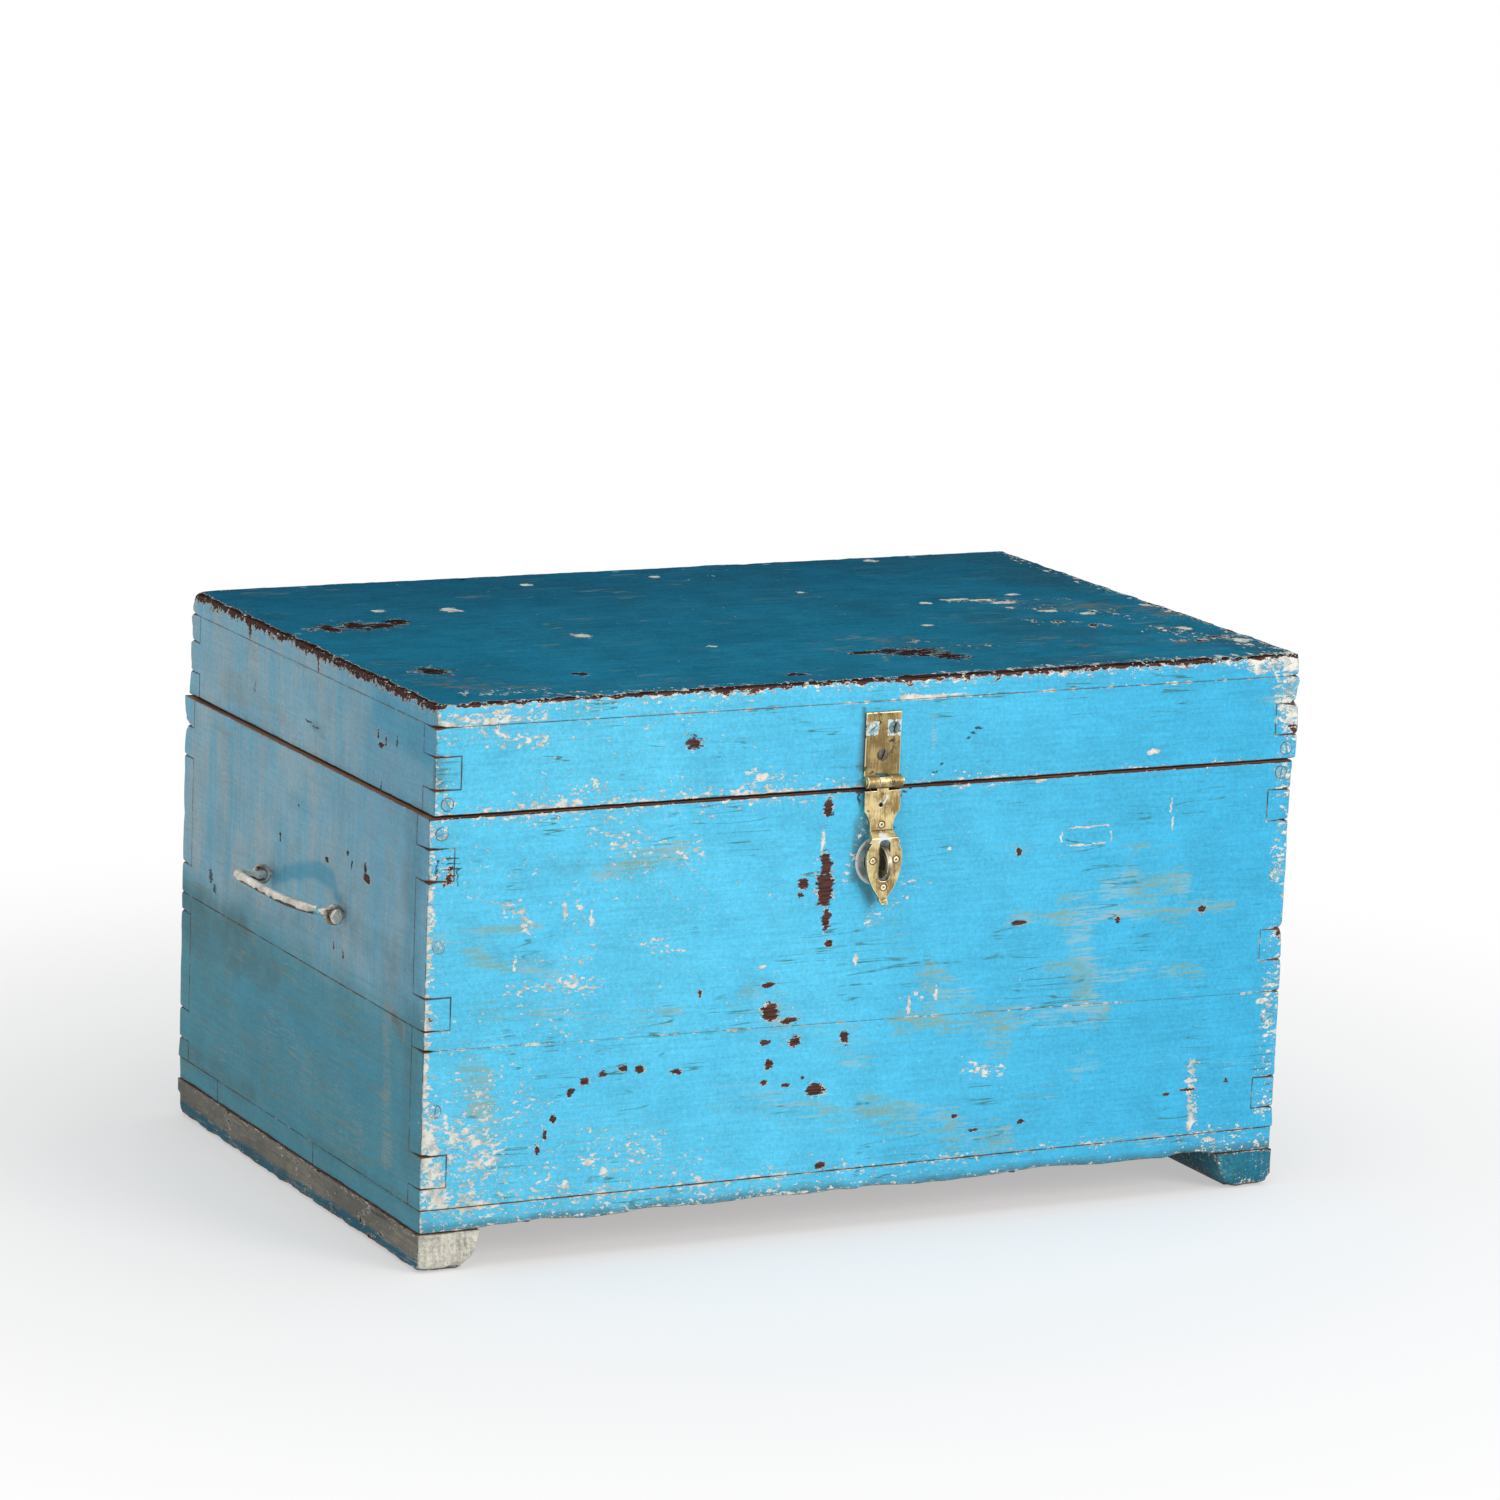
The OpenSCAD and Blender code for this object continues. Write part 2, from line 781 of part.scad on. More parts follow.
// A washer inside the end board
module washer() {
    difference() {
        rod_x(-eye_stand - wall_t - burr_t, burr_t, burr_d);
        rod_x(-eye_stand - wall_t - burr_t - past, burr_t + 2 * past, eye_shank_d + 2 * fit_clear);
    }
}

// A quarter bend of the handle's bar, of radius r, from +X round to +Y
module bar_bend(r) {
    rotate_extrude(angle = 90)
        translate([r, 0])
            circle(d = bar_d);
}

// A straight length of the handle's bar, along +Y from the origin
module bar_run(length) {
    rotate([-90, 0, 0])
        cylinder(h = length, d = bar_d);
}

// One half of a handle, from the middle of its grip to its end past the eye
module half_bail() {
    arm_y = eye_pitch / 2 - eye_bar_d / 2 - side_room - elbow_r;
    bar_run_l = arm_y - grip_r;
    pin_l = eye_bar_d + 2 * side_room;
    translate([handle_reach, 0, 0])
        bar_run(bar_run_l);
    translate([handle_reach - grip_r, bar_run_l, 0])
        bar_bend(grip_r);
    translate([elbow_r, arm_y, 0])
        rotate([0, 90, 0])
            cylinder(h = handle_reach - grip_r - elbow_r, d = bar_d);
    translate([elbow_r, arm_y + elbow_r, 0])
        rotate([0, 0, 180])
            bar_bend(elbow_r);
    translate([0, arm_y + elbow_r, 0])
        bar_run(pin_l);
    translate([0, arm_y + elbow_r + pin_l, 0])
        rotate([-90, 0, 0])
            cylinder(h = knob_l, d1 = knob_d, d2 = knob_d * 0.7);
}

// A whole handle as it stands, on the right or left end
module bail(side) {
    color(iron)
        mirror([side < 0 ? 1 : 0, 0, 0])
            translate([trunk_w / 2 + eye_stand, handle_y, handle_z])
                rotate([0, -handle_lift, 0])
                    for (end = [0, 1])
                        mirror([0, end, 0])
                            half_bail();
}

module front_board_upper() {
    color(front_blue)
        difference() {
            in_body()
                long_board(y_front, true);
            at_body_screws()
                corner_screw_room();
            staple_room();
        }
}

module front_board_lower() {
    color(front_blue)
        difference() {
            in_body()
                long_board(y_front, false);
            at_body_screws()
                corner_screw_room();
            bottom_nail_room();
        }
}

module back_board_upper() {
    color(end_blue)
        difference() {
            in_body()
                long_board(y_back - wall_t, true);
            at_body_screws()
                corner_screw_room();
            at_hinges()
                leaf_pocket();
        }
}

module back_board_lower() {
    color(end_blue)
        difference() {
            in_body()
                long_board(y_back - wall_t, false);
            at_body_screws()
                corner_screw_room();
            bottom_nail_room();
        }
}

module end_upper(side) {
    color(end_blue)
        difference() {
            in_body()
                end_board(side, z_end_seam, z_seam, upper_pins);
            at_body_screws()
                corner_screw_room();
            at_eyes(side)
                shank_room();
        }
}

module end_lower(side) {
    color(end_blue)
        difference() {
            in_body()
                end_board(side, z_wall, z_end_seam, lower_pins);
            at_body_screws()
                corner_screw_room();
            bottom_nail_room();
        }
}

// A bottom board that runs the trunk's whole width, from y0 to y1
module bottom_board(y0, y1) {
    w = trunk_w - 2 * bottom_inset;
    d = trunk_d - 2 * bottom_inset;
    color(front_blue)
        difference() {
            intersection() {
                translate([0, body_y, runner_h])
                    soft_box(w, d, bottom_t, edge_r, edge_r / 2);
                translate([-trunk_w / 2, y0, runner_h])
                    cube([trunk_w, y1 - y0, bottom_t]);
            }
            bottom_nail_room();
            at_runner_screws()
                runner_screw_room();
        }
}

module bottom_nails() {
    color(steel)
        translate([0, 0, runner_h])
            along_walls()
                rotate([180, 0, 0])
                    nail();
}

module bottom_nail_room() {
    translate([0, 0, runner_h])
        along_walls()
            rotate([180, 0, 0]) {
                nail(fit_clear);
                cylinder(h = past, d = nail_head_d + 2 * fit_clear);
            }
}

// A runner under one end, worn round along its lower edges
module runner(side) {
    color(runner_grey)
        mirror([side > 0 ? 1 : 0, 0, 0])
            difference() {
                intersection() {
                    along_y(y_front, trunk_d)
                        intersection() {
                            difference() {
                                translate([-trunk_w / 2, 0])
                                    square([runner_w + past, runner_h]);
                                translate([-trunk_w / 2, 0])
                                    corner_waste(runner_outer_r);
                            }
                            translate([runner_w - trunk_w / 2 - runner_inner_r, runner_inner_z])
                                circle(runner_inner_r);
                        }
                    along_x(-trunk_w, trunk_w)
                        difference() {
                            translate([y_front, 0])
                                square([trunk_d, runner_h]);
                            translate([y_front, 0])
                                worn_waste(runner_nose_r);
                            translate([y_back, 0])
                                mirror([1, 0])
                                    worn_waste(runner_tail_r);
                        }
                }
                at_runner_screws()
                    runner_screw_room();
            }
}

module runner_screws() {
    color(steel)
        at_runner_screws()
            screw(corner_head_d, corner_shank_d, runner_screw_l);
}

module body_corner_screws() {
    color(steel)
        at_body_screws()
            screw(corner_head_d, corner_shank_d, corner_screw_l);
}

module lid_corner_screws() {
    color(steel)
        at_lid_screws()
            screw(corner_head_d, corner_shank_d, corner_screw_l);
}

module staple_plate() {
    color(iron)
        difference() {
            translate([hasp_x, y_front, staple_z])
                rotate([90, 0, 0])
                    cylinder(h = plate_t, d = plate_d);
            staple_room();
        }
}

module staple() {
    color(iron)
        translate([0, y_front, staple_z])
            along_x(hasp_x - staple_w / 2, staple_w)
                staple_side();
}

module handle_eyes(side) {
    color(iron)
        at_eyes(side)
            eye();
}

module handle_washers(side) {
    color(iron)
        at_eyes(side)
            washer();
}

module hinge_lower_leaves() {
    color(steel)
        at_hinges()
            hinge_leaf(0);
}

module hinge_upper_leaves() {
    color(steel)
        at_hinges()
            mirror([0, 0, 1])
                hinge_leaf(1);
}

module hinge_pins() {
    head_l = hinge_pin_d / 3;
    color(steel)
        at_hinges() {
            rod_x(-hinge_w / 2, hinge_w, hinge_pin_d);
            for (side = [0, 1])
                mirror([side, 0, 0])
                    rod_x(hinge_w / 2, head_l, hinge_pin_d * 1.5);
        }
}

module hinge_lower_screws() {
    color(steel)
        at_hinges()
            at_leaf_screws()
                screw(small_head_d, small_shank_d, small_screw_l);
}

module hinge_upper_screws() {
    color(steel)
        at_hinges()
            mirror([0, 0, 1])
                at_leaf_screws()
                    screw(small_head_d, small_shank_d, small_screw_l);
}

// Places its children at the lid's nails, on top of the lid
module at_lid_nails() {
    translate([lid_shift, 0, z_top + top_t])
        along_walls()
            children();
}

module lid_nail_room() {
    at_lid_nails() {
        nail(fit_clear);
        cylinder(h = past, d = nail_head_d + 2 * fit_clear);
    }
}

module lid_nails() {
    color(steel)
        at_lid_nails()
            nail();
}

module lid_top() {
    color(top_teal)
        difference() {
            in_lid()
                translate([lid_shift - trunk_w / 2, y_front, z_top])
                    cube([trunk_w, trunk_d, top_t]);
            lid_nail_room();
        }
}

// The front or back rail of the lid
module long_rail(y0) {
    difference() {
        translate([lid_shift - trunk_w / 2, y0, z_lid])
            cube([trunk_w, wall_t, lid_h]);
        for (side = [-1, 1])
            fingers(lid_pins, side, lid_shift);
    }
}

module lid_front_rail() {
    color(front_blue)
        difference() {
            in_lid()
                long_rail(y_front);
            at_lid_screws()
                corner_screw_room();
            at_hasp_screws()
                small_screw_room();
            lid_nail_room();
        }
}

module lid_back_rail() {
    color(end_blue)
        difference() {
            in_lid()
                long_rail(y_back - wall_t);
            at_lid_screws()
                corner_screw_room();
            at_hinges()
                mirror([0, 0, 1])
                    leaf_pocket();
            lid_nail_room();
        }
}

module lid_end_rail(side) {
    color(end_blue)
        difference() {
            in_lid()
                end_board(side, z_lid, z_top, lid_pins, lid_shift);
            at_lid_screws()
                corner_screw_room();
            lid_nail_room();
        }
}

module hasp_leaf() {
    knuckle_x = hasp_knuckle_w / 2 + knuckle_gap / 2;
    foot = hasp_barrel_d / 2 + knuckle_gap;
    color(brass)
        difference() {
            at_hasp()
                difference() {
                    union() {
                        translate([-hasp_w / 2, hasp_out - leaf_t, foot])
                            cube([hasp_w, leaf_t, leaf_h - foot]);
                        for (side = [0, 1])
                            mirror([side, 0, 0]) {
                                rod_x(knuckle_x, hasp_w / 2 - knuckle_x, hasp_barrel_d);
                                translate([knuckle_x, hasp_out - leaf_t, 0])
                                    cube([hasp_w / 2 - knuckle_x, leaf_t, leaf_h / 2]);
                            }
                    }
                    rod_x(-hasp_w, 2 * hasp_w, hasp_pin_d + 2 * pin_clear);
                }
            at_hasp_screws()
                small_screw_room();
        }
}

module hasp_pin() {
    head_l = hasp_pin_d / 4;
    color(brass)
        at_hasp() {
            rod_x(-hasp_w / 2, hasp_w, hasp_pin_d);
            for (side = [0, 1])
                mirror([side, 0, 0])
                    rod_x(hasp_w / 2, head_l, hasp_pin_d * 1.4);
        }
}

module hasp_screws() {
    color(steel)
        at_hasp_screws()
            screw(small_head_d, small_shank_d, small_screw_l);
}

module hasp_strap() {
    color(brass)
        at_hasp()
            difference() {
                union() {
                    intersection() {
                        along_x(-shield_w, 2 * shield_w)
                            strap_side();
                        along_y(-2 * shield_w, 4 * shield_w)
                            strap_front();
                    }
                    rod_x(
                        knuckle_gap / 2 - hasp_knuckle_w / 2,
                        hasp_knuckle_w - knuckle_gap,
                        hasp_barrel_d
                    );
                }
                rod_x(-hasp_w, 2 * hasp_w, hasp_pin_d + 2 * pin_clear);
                along_y(-2 * shield_w, 4 * shield_w) {
                    strap_slot();
                    strap_hole();
                }
                punch_marks();
            }
}

front_board_upper();
front_board_lower();
back_board_upper();
back_board_lower();
end_upper(-1);  // left_end_upper
end_lower(-1);  // left_end_lower
end_upper(1);  // right_end_upper
end_lower(1);  // right_end_lower
bottom_board(y_front, y_front + bottom_front_w);  // bottom_board_front
bottom_board(y_front + bottom_front_w, y_back - bottom_rear_w);  // bottom_board_middle
bottom_board(y_back - bottom_rear_w, y_back);  // bottom_board_rear
runner(-1);  // left_runner
runner(1);  // right_runner
body_corner_screws();
bottom_nails();
runner_screws();
staple_plate();
staple();
handle_eyes(-1);  // left_handle_eyes
handle_eyes(1);  // right_handle_eyes
handle_washers(-1);  // left_handle_washers
handle_washers(1);  // right_handle_washers
bail(-1);  // left_bail
bail(1);  // right_bail
hinge_lower_leaves();
hinge_pins();
hinge_lower_screws();
hinge_upper_leaves();
hinge_upper_screws();
lid_top();
lid_front_rail();
lid_back_rail();
lid_end_rail(-1);  // lid_left_rail
lid_end_rail(1);  // lid_right_rail
lid_corner_screws();
lid_nails();
hasp_leaf();
hasp_pin();
hasp_screws();
hasp_strap();
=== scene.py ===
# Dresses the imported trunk: worn painted boards, old brass and forged iron, on a plain pale floor.
# Lengths in the making of the boards are millimetres, and everything placed in the scene is metres.
import itertools
import math
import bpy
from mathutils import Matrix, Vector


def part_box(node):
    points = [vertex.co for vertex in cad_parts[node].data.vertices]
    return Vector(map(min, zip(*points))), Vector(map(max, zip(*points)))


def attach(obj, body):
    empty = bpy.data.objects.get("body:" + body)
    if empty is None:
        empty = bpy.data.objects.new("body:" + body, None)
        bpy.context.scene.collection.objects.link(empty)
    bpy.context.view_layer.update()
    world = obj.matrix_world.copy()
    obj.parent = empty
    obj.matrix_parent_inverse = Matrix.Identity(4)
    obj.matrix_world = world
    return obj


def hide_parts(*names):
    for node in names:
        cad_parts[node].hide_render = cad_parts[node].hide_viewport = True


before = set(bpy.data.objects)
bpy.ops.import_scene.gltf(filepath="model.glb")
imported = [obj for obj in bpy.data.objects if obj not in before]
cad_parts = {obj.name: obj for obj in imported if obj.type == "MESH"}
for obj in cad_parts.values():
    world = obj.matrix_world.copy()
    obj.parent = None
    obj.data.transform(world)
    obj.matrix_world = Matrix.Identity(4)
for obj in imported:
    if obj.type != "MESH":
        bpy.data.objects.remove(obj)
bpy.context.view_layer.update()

from types import SimpleNamespace

import bmesh
import bpy
import numpy as np
from mathutils import Matrix, Vector

MM = 0.001
SEED = 7
SIDES = (("left", -1), ("right", 1))


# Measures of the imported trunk

def box_mm(node):
    """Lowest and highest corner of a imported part, in millimetres."""
    low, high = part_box(node)
    return np.array(low) / MM, np.array(high) / MM


WALLS_LOW = box_mm("front_board_lower")[0]
WALLS_HIGH = box_mm("back_board_upper")[1]
LID_LOW = box_mm("lid_front_rail")[0]
LID_HIGH = box_mm("lid_top")[1]
TOP_UNDERSIDE = box_mm("lid_top")[0][2]
BOTTOM_LOW = box_mm("bottom_board_front")[0]
BOTTOM_HIGH = box_mm("bottom_board_rear")[1]
LEFT, RIGHT = LID_LOW[0], LID_HIGH[0]
FRONT_Y, REAR_Y = WALLS_LOW[1], LID_HIGH[1]
WALL_T = box_mm("front_board_lower")[1][1] - FRONT_Y
END_SEAM = box_mm("left_end_upper")[0][2]
FRONT_SEAM = END_SEAM - 22
SEAM_SLOPE = 6
FINGER_H = 27


def finger(z):
    """The lower and the upper edge of a finger that starts at a height."""
    return z, z + FINGER_H


LOWER_FINGER = finger(70)
MIDDLE_FINGER = finger(END_SEAM)
UPPER_FINGER = finger(322)
LID_FINGER = finger(LID_LOW[2] + 21)


def on_front_seam(points):
    """Which points lie on the sloping seam between the long boards, clear of the corners."""
    return (np.abs(points[:, 2] - FRONT_SEAM) < 4) & (np.abs(points[:, 0]) < RIGHT - WALL_T - 2)


# Numbers that wander over a surface

def wander(points, size, seed=0):
    """Smooth lumps from -1 to 1 over the points, about size millimetres apart.

    The large numbers only stir the digits of each lattice corner into a value of its own.
    """
    places = points / size + SEED + seed * 31.7
    cell = np.floor(places).astype(np.int64)
    part = places - cell
    part = part * part * (3 - 2 * part)
    total = np.zeros(len(points))
    for corner in itertools.product((0, 1), repeat=3):
        at = cell + corner
        key = at[:, 0] * 374761393 + at[:, 1] * 668265263 + at[:, 2] * 974711
        key = (key & 0xFFFFFFFF) ^ ((key >> 13) & 0x7FFFF)
        key = (key * 1274126177) & 0xFFFFFFFF
        value = (key ^ (key >> 16)) / 2147483648.0 - 1
        total += value * np.prod(np.where(corner, part, 1 - part), axis=1)
    return total


# Boards as skins of small cells

NEAR_EDGE = (0.4, 1.0, 2.2, 5.0)


def cell_lines(cuts, step):
    """Lines through every cut, close together beside each and step apart between them."""
    lines = [cuts[0]]
    for a, b in zip(cuts, cuts[1:]):
        near = [o for o in NEAR_EDGE if o < (b - a) / 2.2]
        inner = np.linspace(a + near[-1], b - near[-1],
                            max(2, round((b - a - 2 * near[-1]) / step) + 1))
        lines += [a + o for o in near[:-1]] + list(inner) + [b - o for o in near[-2::-1]] + [b]
    return np.array(lines)


def skin(solid):
    """The outer faces of a block of cells: lattice corners, axis and side of each."""
    padded = np.pad(solid, 1)
    faces, axes, sides = [], [], []
    for axis in range(3):
        u, v = (axis + 1) % 3, (axis + 2) % 3
        for side in (-1, 1):
            bare = padded & ~np.roll(padded, -side, axis)
            cells = np.argwhere(bare[1:-1, 1:-1, 1:-1])
            turn = ((0, 0), (1, 0), (1, 1), (0, 1))
            corners = []
            for a, b in (turn if side > 0 else turn[::-1]):
                corner = cells.copy()
                corner[:, axis] += side > 0
                corner[:, u] += a
                corner[:, v] += b
                corners.append(corner)
            faces.append(np.stack(corners, 1))
            axes.append(np.full(len(cells), axis))
            sides.append(np.full(len(cells), side))
    return np.concatenate(faces), np.concatenate(axes), np.concatenate(sides)


def round_off(points, boxes, radius):
    """Moves the points of a union of boxes onto the same form with its edges rounded."""
    best = np.full(len(points), np.inf)
    moved = points.copy()
    outward = np.zeros_like(points)
    for low, high in boxes:
        near = np.clip(points, low + radius[:, None], high - radius[:, None])
        gap = points - near
        length = np.linalg.norm(gap, axis=1)
        closer = length < best
        way = gap / np.maximum(length, 1e-9)[:, None]
        moved[closer] = (near + way * radius[:, None])[closer]
        outward[closer] = way[closer]
        best[closer] = length[closer]
    return moved, outward


def edge_distance(points, boxes):
    """Distance of each surface point from the nearest edge of a union of boxes."""
    found = np.zeros(len(points))
    for low, high in boxes:
        inside = np.all((points >= low - 0.01) & (points <= high + 0.01), axis=1)
        walls = np.sort(np.minimum(np.abs(points - low), np.abs(high - points)), axis=1)
        found = np.where(inside, np.maximum(found, walls[:, 1]), found)
    return found


# Broken places at the corners: where each is, how far it reaches and how deep it goes
NOTCHES = (
    ((LEFT, REAR_Y, 430), 7, 5), ((LEFT, REAR_Y, 404), 5, 3),
    ((WALLS_LOW[0], WALLS_HIGH[1], 350), 7, 5), ((RIGHT, LID_LOW[1], 430), 8, 5.5),
    ((RIGHT, LID_LOW[1], 458), 14, 3), ((RIGHT, LID_LOW[1], 380), 7, 2.5),
    ((WALLS_HIGH[0], FRONT_Y, 226), 8, 3), ((WALLS_LOW[0], FRONT_Y, 330), 12, 2.5),
    ((LEFT, LID_LOW[1], 448), 16, 2), ((LEFT, REAR_Y, LID_HIGH[2]), 20, 4))
# Rounding in millimetres of a plain edge, the least of any edge, and that along the front seam
PLAIN_EDGE, LEAST_EDGE, SEAM_EDGE = 0.4, 0.25, 0.1


def worn_radius(points, rims, rough):
    """Edge rounding at each point: a rim's own inside its box, then chips and notches."""
    radius = np.full(len(points), PLAIN_EDGE)
    for low, high, value in rims:
        radius[np.all((points >= low) & (points <= high), axis=1)] = value
    radius *= 1 + 0.45 * wander(points, 16, 1) + 0.25 * wander(points, 5, 2)
    chips = np.clip(wander(points, 8, 3) - 0.35, 0, 1) * (wander(points, 45, 4) > -0.2)
    radius += chips * 2.2 * rough * (radius > 1.2) + chips * 0.4 * rough
    for middle, reach, depth in NOTCHES:
        radius += depth * np.clip(1.4 - np.linalg.norm(points - middle, axis=1) / reach, 0, 1)
    closed = on_front_seam(points)
    radius[closed] = 0
    return np.clip(radius, np.where(closed, SEAM_EDGE, LEAST_EDGE), WALL_T / 2.3)


# Where the paint has worn, as strokes from one place to another with a reach and a strength

def strokes_on(axis, level, rows):
    """Strokes on a flat face, from rows of both ends there, a reach and a strength."""
    found = []
    for row in rows:
        start, end = list(row[:2]), list(row[2:4])
        start.insert(axis, level)
        end.insert(axis, level)
        found.append((start, end, *row[4:]))
    return found


def on_front(*rows):
    return strokes_on(1, FRONT_Y, rows)


def on_top(*rows):
    return strokes_on(2, LID_HIGH[2], rows)


def on_left(*rows):
    return strokes_on(0, LEFT, rows)


def strokes_at(points, strokes):
    """How strongly the strokes reach each point, from 0 to 1."""
    found = np.zeros(len(points))
    for start, end, reach, strength in strokes:
        start, way = np.array(start, float), np.subtract(end, start).astype(float)
        along = np.clip((points - start) @ way / max(way @ way, 1e-9), 0, 1)
        away = np.linalg.norm(points - start - along[:, None] * way, axis=1) / reach
        near = np.clip(1.25 * (1 - away), 0, 1)
        found = np.maximum(found, strength * near * near * (3 - 2 * near))
    return found


CHIPPED = on_front(
    (-396, 110, -350, 84, 66, 0.48), (-390, 57, -240, 50, 30, 0.46),
    (-384, 143, -300, 125, 50, 0.4), (-250, 90, -160, 72, 56, 0.38),
    (-330, 150, -280, 60, 62, 0.38), (-401, 446, -330, 447, 34, 0.42),
    (-336, 434, -301, 432, 14, 0.5), (-278, 394, -251, 392, 14, 0.46),
    (-278, 300, -272, 200, 14, 0.36), (-250, 355, -168, 328, 38, 0.4),
    (-213, 320, -205, 344, 26, 0.4), (-350, 330, -150, 300, 60, 0.3),
    (-117, 392, -85, 386, 14, 0.46), (-283, 296, -251, 269, 26, 0.42),
    (-110, 330, -60, 230, 40, 0.27), (-323, 299, -309, 277, 14, 0.5),
    (-325, 233, -246, 227, 17, 0.46), (-300, 252, -255, 249, 12, 0.42),
    (-211, 262, -175, 251, 16, 0.42), (-360, 310, -330, 295, 16, 0.42),
    (95, 132, 129, 121, 18, 0.44), (35, 193, 54, 200, 12, 0.42), (316, 118, 319, 60, 12, 0.52),
    (30, 295, 49, 289, 14, 0.42), (26, 278, -1, 263, 20, 0.44), (209, 57, 132, 55, 12, 0.4),
    (360, 462, 404, 462, 24, 0.62), (388, 440, 404, 400, 30, 0.54),
    (393, 380, 394, 270, 24, 0.46), (392, 226, 390, 68, 24, 0.44), (328, 42, 388, 41, 20, 0.44),
    (-401, 440, -401, 120, 15, 0.6), (-385, 60, -398, 110, 26, 0.66),
    (-330, 43, -148, 40, 12, 0.44), (-60, 300, -40, 340, 12, 0.36),
    (-10, 345, -25, 300, 14, 0.42), (-396, 464, 404, 464, 9, 0.5), (60, 448, 20, 449, 5, 0.7),
    (-300, 452, -400, 450, 8, 0.6), (-100, 60, 60, 56, 30, 0.3), (-150, 40, 400, 40, 10, 0.36),
    (-400, 376, -150, 376, 9, 0.42), (0, 376, 160, 376, 8, 0.4),
) + on_top(
    (230, 48, 285, 30, 16, 0.5), (262, 0, 300, -10, 12, 0.42), (150, -52, 160, -56, 8, 0.4),
    (-350, -215, -270, -236, 34, 0.42), (-250, -246, -60, -246, 16, 0.4),
    (60, -250, 400, -248, 20, 0.46), (340, -120, 395, -230, 45, 0.4),
    (290, 0, 390, -90, 44, 0.34), (-395, -240, -395, 240, 9, 0.46),
    (390, 240, 398, -240, 16, 0.4),
) + [((LEFT, FRONT_Y + 10, 250), (LEFT, FRONT_Y + 10, 120), 9, 0.4)]
RUBBED_THIN = on_front(
    (119, 314, 312, 306, 15, 0.62), (226, 277, 294, 276, 26, 0.8), (131, 254, 345, 251, 17, 0.78),
    (58, 212, 127, 151, 34, 0.72), (31, 172, 222, 169, 26, 0.74), (6, 101, 132, 64, 40, 0.7),
    (193, 266, 208, 179, 34, 0.66), (-109, 204, -5, 153, 44, 0.64), (-133, 122, -2, 93, 36, 0.62),
    (-363, 175, -339, 114, 34, 0.74), (-351, 215, -154, 191, 26, 0.62),
    (-249, 322, -178, 334, 20, 0.84), (-388, 275, -300, 281, 14, 0.8),
    (-361, 257, -282, 238, 16, 0.7), (172, 208, 319, 192, 24, 0.66),
    (297, 237, 245, 289, 26, 0.64), (159, 96, 215, 126, 30, 0.6), (229, 55, 328, 46, 18, 0.62),
    (0, 300, 24, 240, 40, 0.5), (-310, 110, -200, 100, 60, 0.5), (300, 120, 380, 100, 40, 0.46),
    (-60, 440, 300, 420, 18, 0.36), (52, 405, 52, 432, 8, 0.8), (370, 420, 400, 440, 26, 0.7),
) + on_top(
    (97, -120, 349, -180, 60, 0.62), (274, 32, 381, -47, 60, 0.7),
    (-352, -168, -276, -233, 60, 0.66), (-235, -223, -48, -211, 34, 0.56),
    (-397, 239, -359, 107, 30, 0.5), (340, 200, 380, 60, 50, 0.5), (-60, 60, 120, 40, 80, 0.3),
) + on_left(
    (-182, 205, -190, 80, 26, 0.56), (-196, 198, -214, 190, 18, 0.8),
    (250, 330, 230, 240, 40, 0.5), (180, 400, 40, 395, 40, 0.5), (-180, 330, -190, 260, 30, 0.5),
    (60, 120, -120, 80, 70, 0.42),
)
BARE_WOOD = on_top(
    (46, -152, 108, -188, 9, 0.52), (-372, 72, -290, 72, 13, 0.5), (-330, 84, -275, 82, 10, 0.48),
    (-362, -125, -330, -128, 9, 0.52), (301, 30, 350, 28, 11, 0.42),
    (323, -35, 358, -45, 13, 0.42), (330, -176, 396, -170, 18, 0.44),
    (97, -114, 169, -158, 20, 0.4), (250, -60, 300, -90, 26, 0.4),
    (-398, -255, 404, -255, 7, 0.62), (-160, -254, 330, -254, 9, 0.66),
    (-398, -250, -398, 264, 12, 0.82), (398, -250, 398, 264, 6, 0.5),
    (-398, 266, 398, 266, 5, 0.45),
) + on_front(
    (-401, 373.6, 401, 373.6, 1.9, 1.1), (-401, 375.4, 401, 375.4, 1.1, 1.0),
    (-386, 336, -382, 326, 15, 0.62), (394, 226, 400, 219, 10, 0.58),
    (-400, 455, -400, 425, 5, 0.6), (398, 404, 404, 398, 7, 0.6),
) + [
    ((LEFT, FRONT_Y, 373.7), (LEFT, REAR_Y, 373.7), 1.7, 1.1),
    ((LEFT, FRONT_Y, 375.4), (LEFT, REAR_Y, 375.4), 1.1, 1.0),
    ((LEFT, FRONT_Y, 345), (LEFT, FRONT_Y, 200), 1.8, 0.46),
]
# Grime, with painted shade round the hasp leaf and plate and under the left handle, as strokes
GRIME_AND_SHADE = on_front(
    (-14, 345, -16, 300, 13, 0.7), (-14, 440, -15, 385, 6, 0.8), (22, 372, 30, 300, 8, 0.4),
    (-12, 300, 2, 276, 10, 0.7), (-394, 420, -392, 400, 12, 0.6), (-300, 330, -180, 318, 22, 0.4),
    (-401, 35, 401, 35, 6, 0.72), (-380, 290, -300, 250, 40, 0.36),
    (392, 440, 398, 300, 10, 0.45),
) + on_left(
    (110, 226, -60, 240, 30, 0.4), (262, 196, 130, 196, 36, 0.62), (246, 172, 60, 176, 44, 0.55),
    (-198, 196, -212, 190, 16, 0.72), (-120, 250, -190, 240, 50, 0.48),
    (-90, 260, -150, 300, 40, 0.34), (262, 60, 100, 60, 26, 0.5), (-30, 54, -250, 54, 16, 0.5),
    (140, 374, 60, 374, 10, 0.5), (0, 404, -30, 396, 10, 0.5), (-226, 360, -236, 90, 44, 0.5),
)
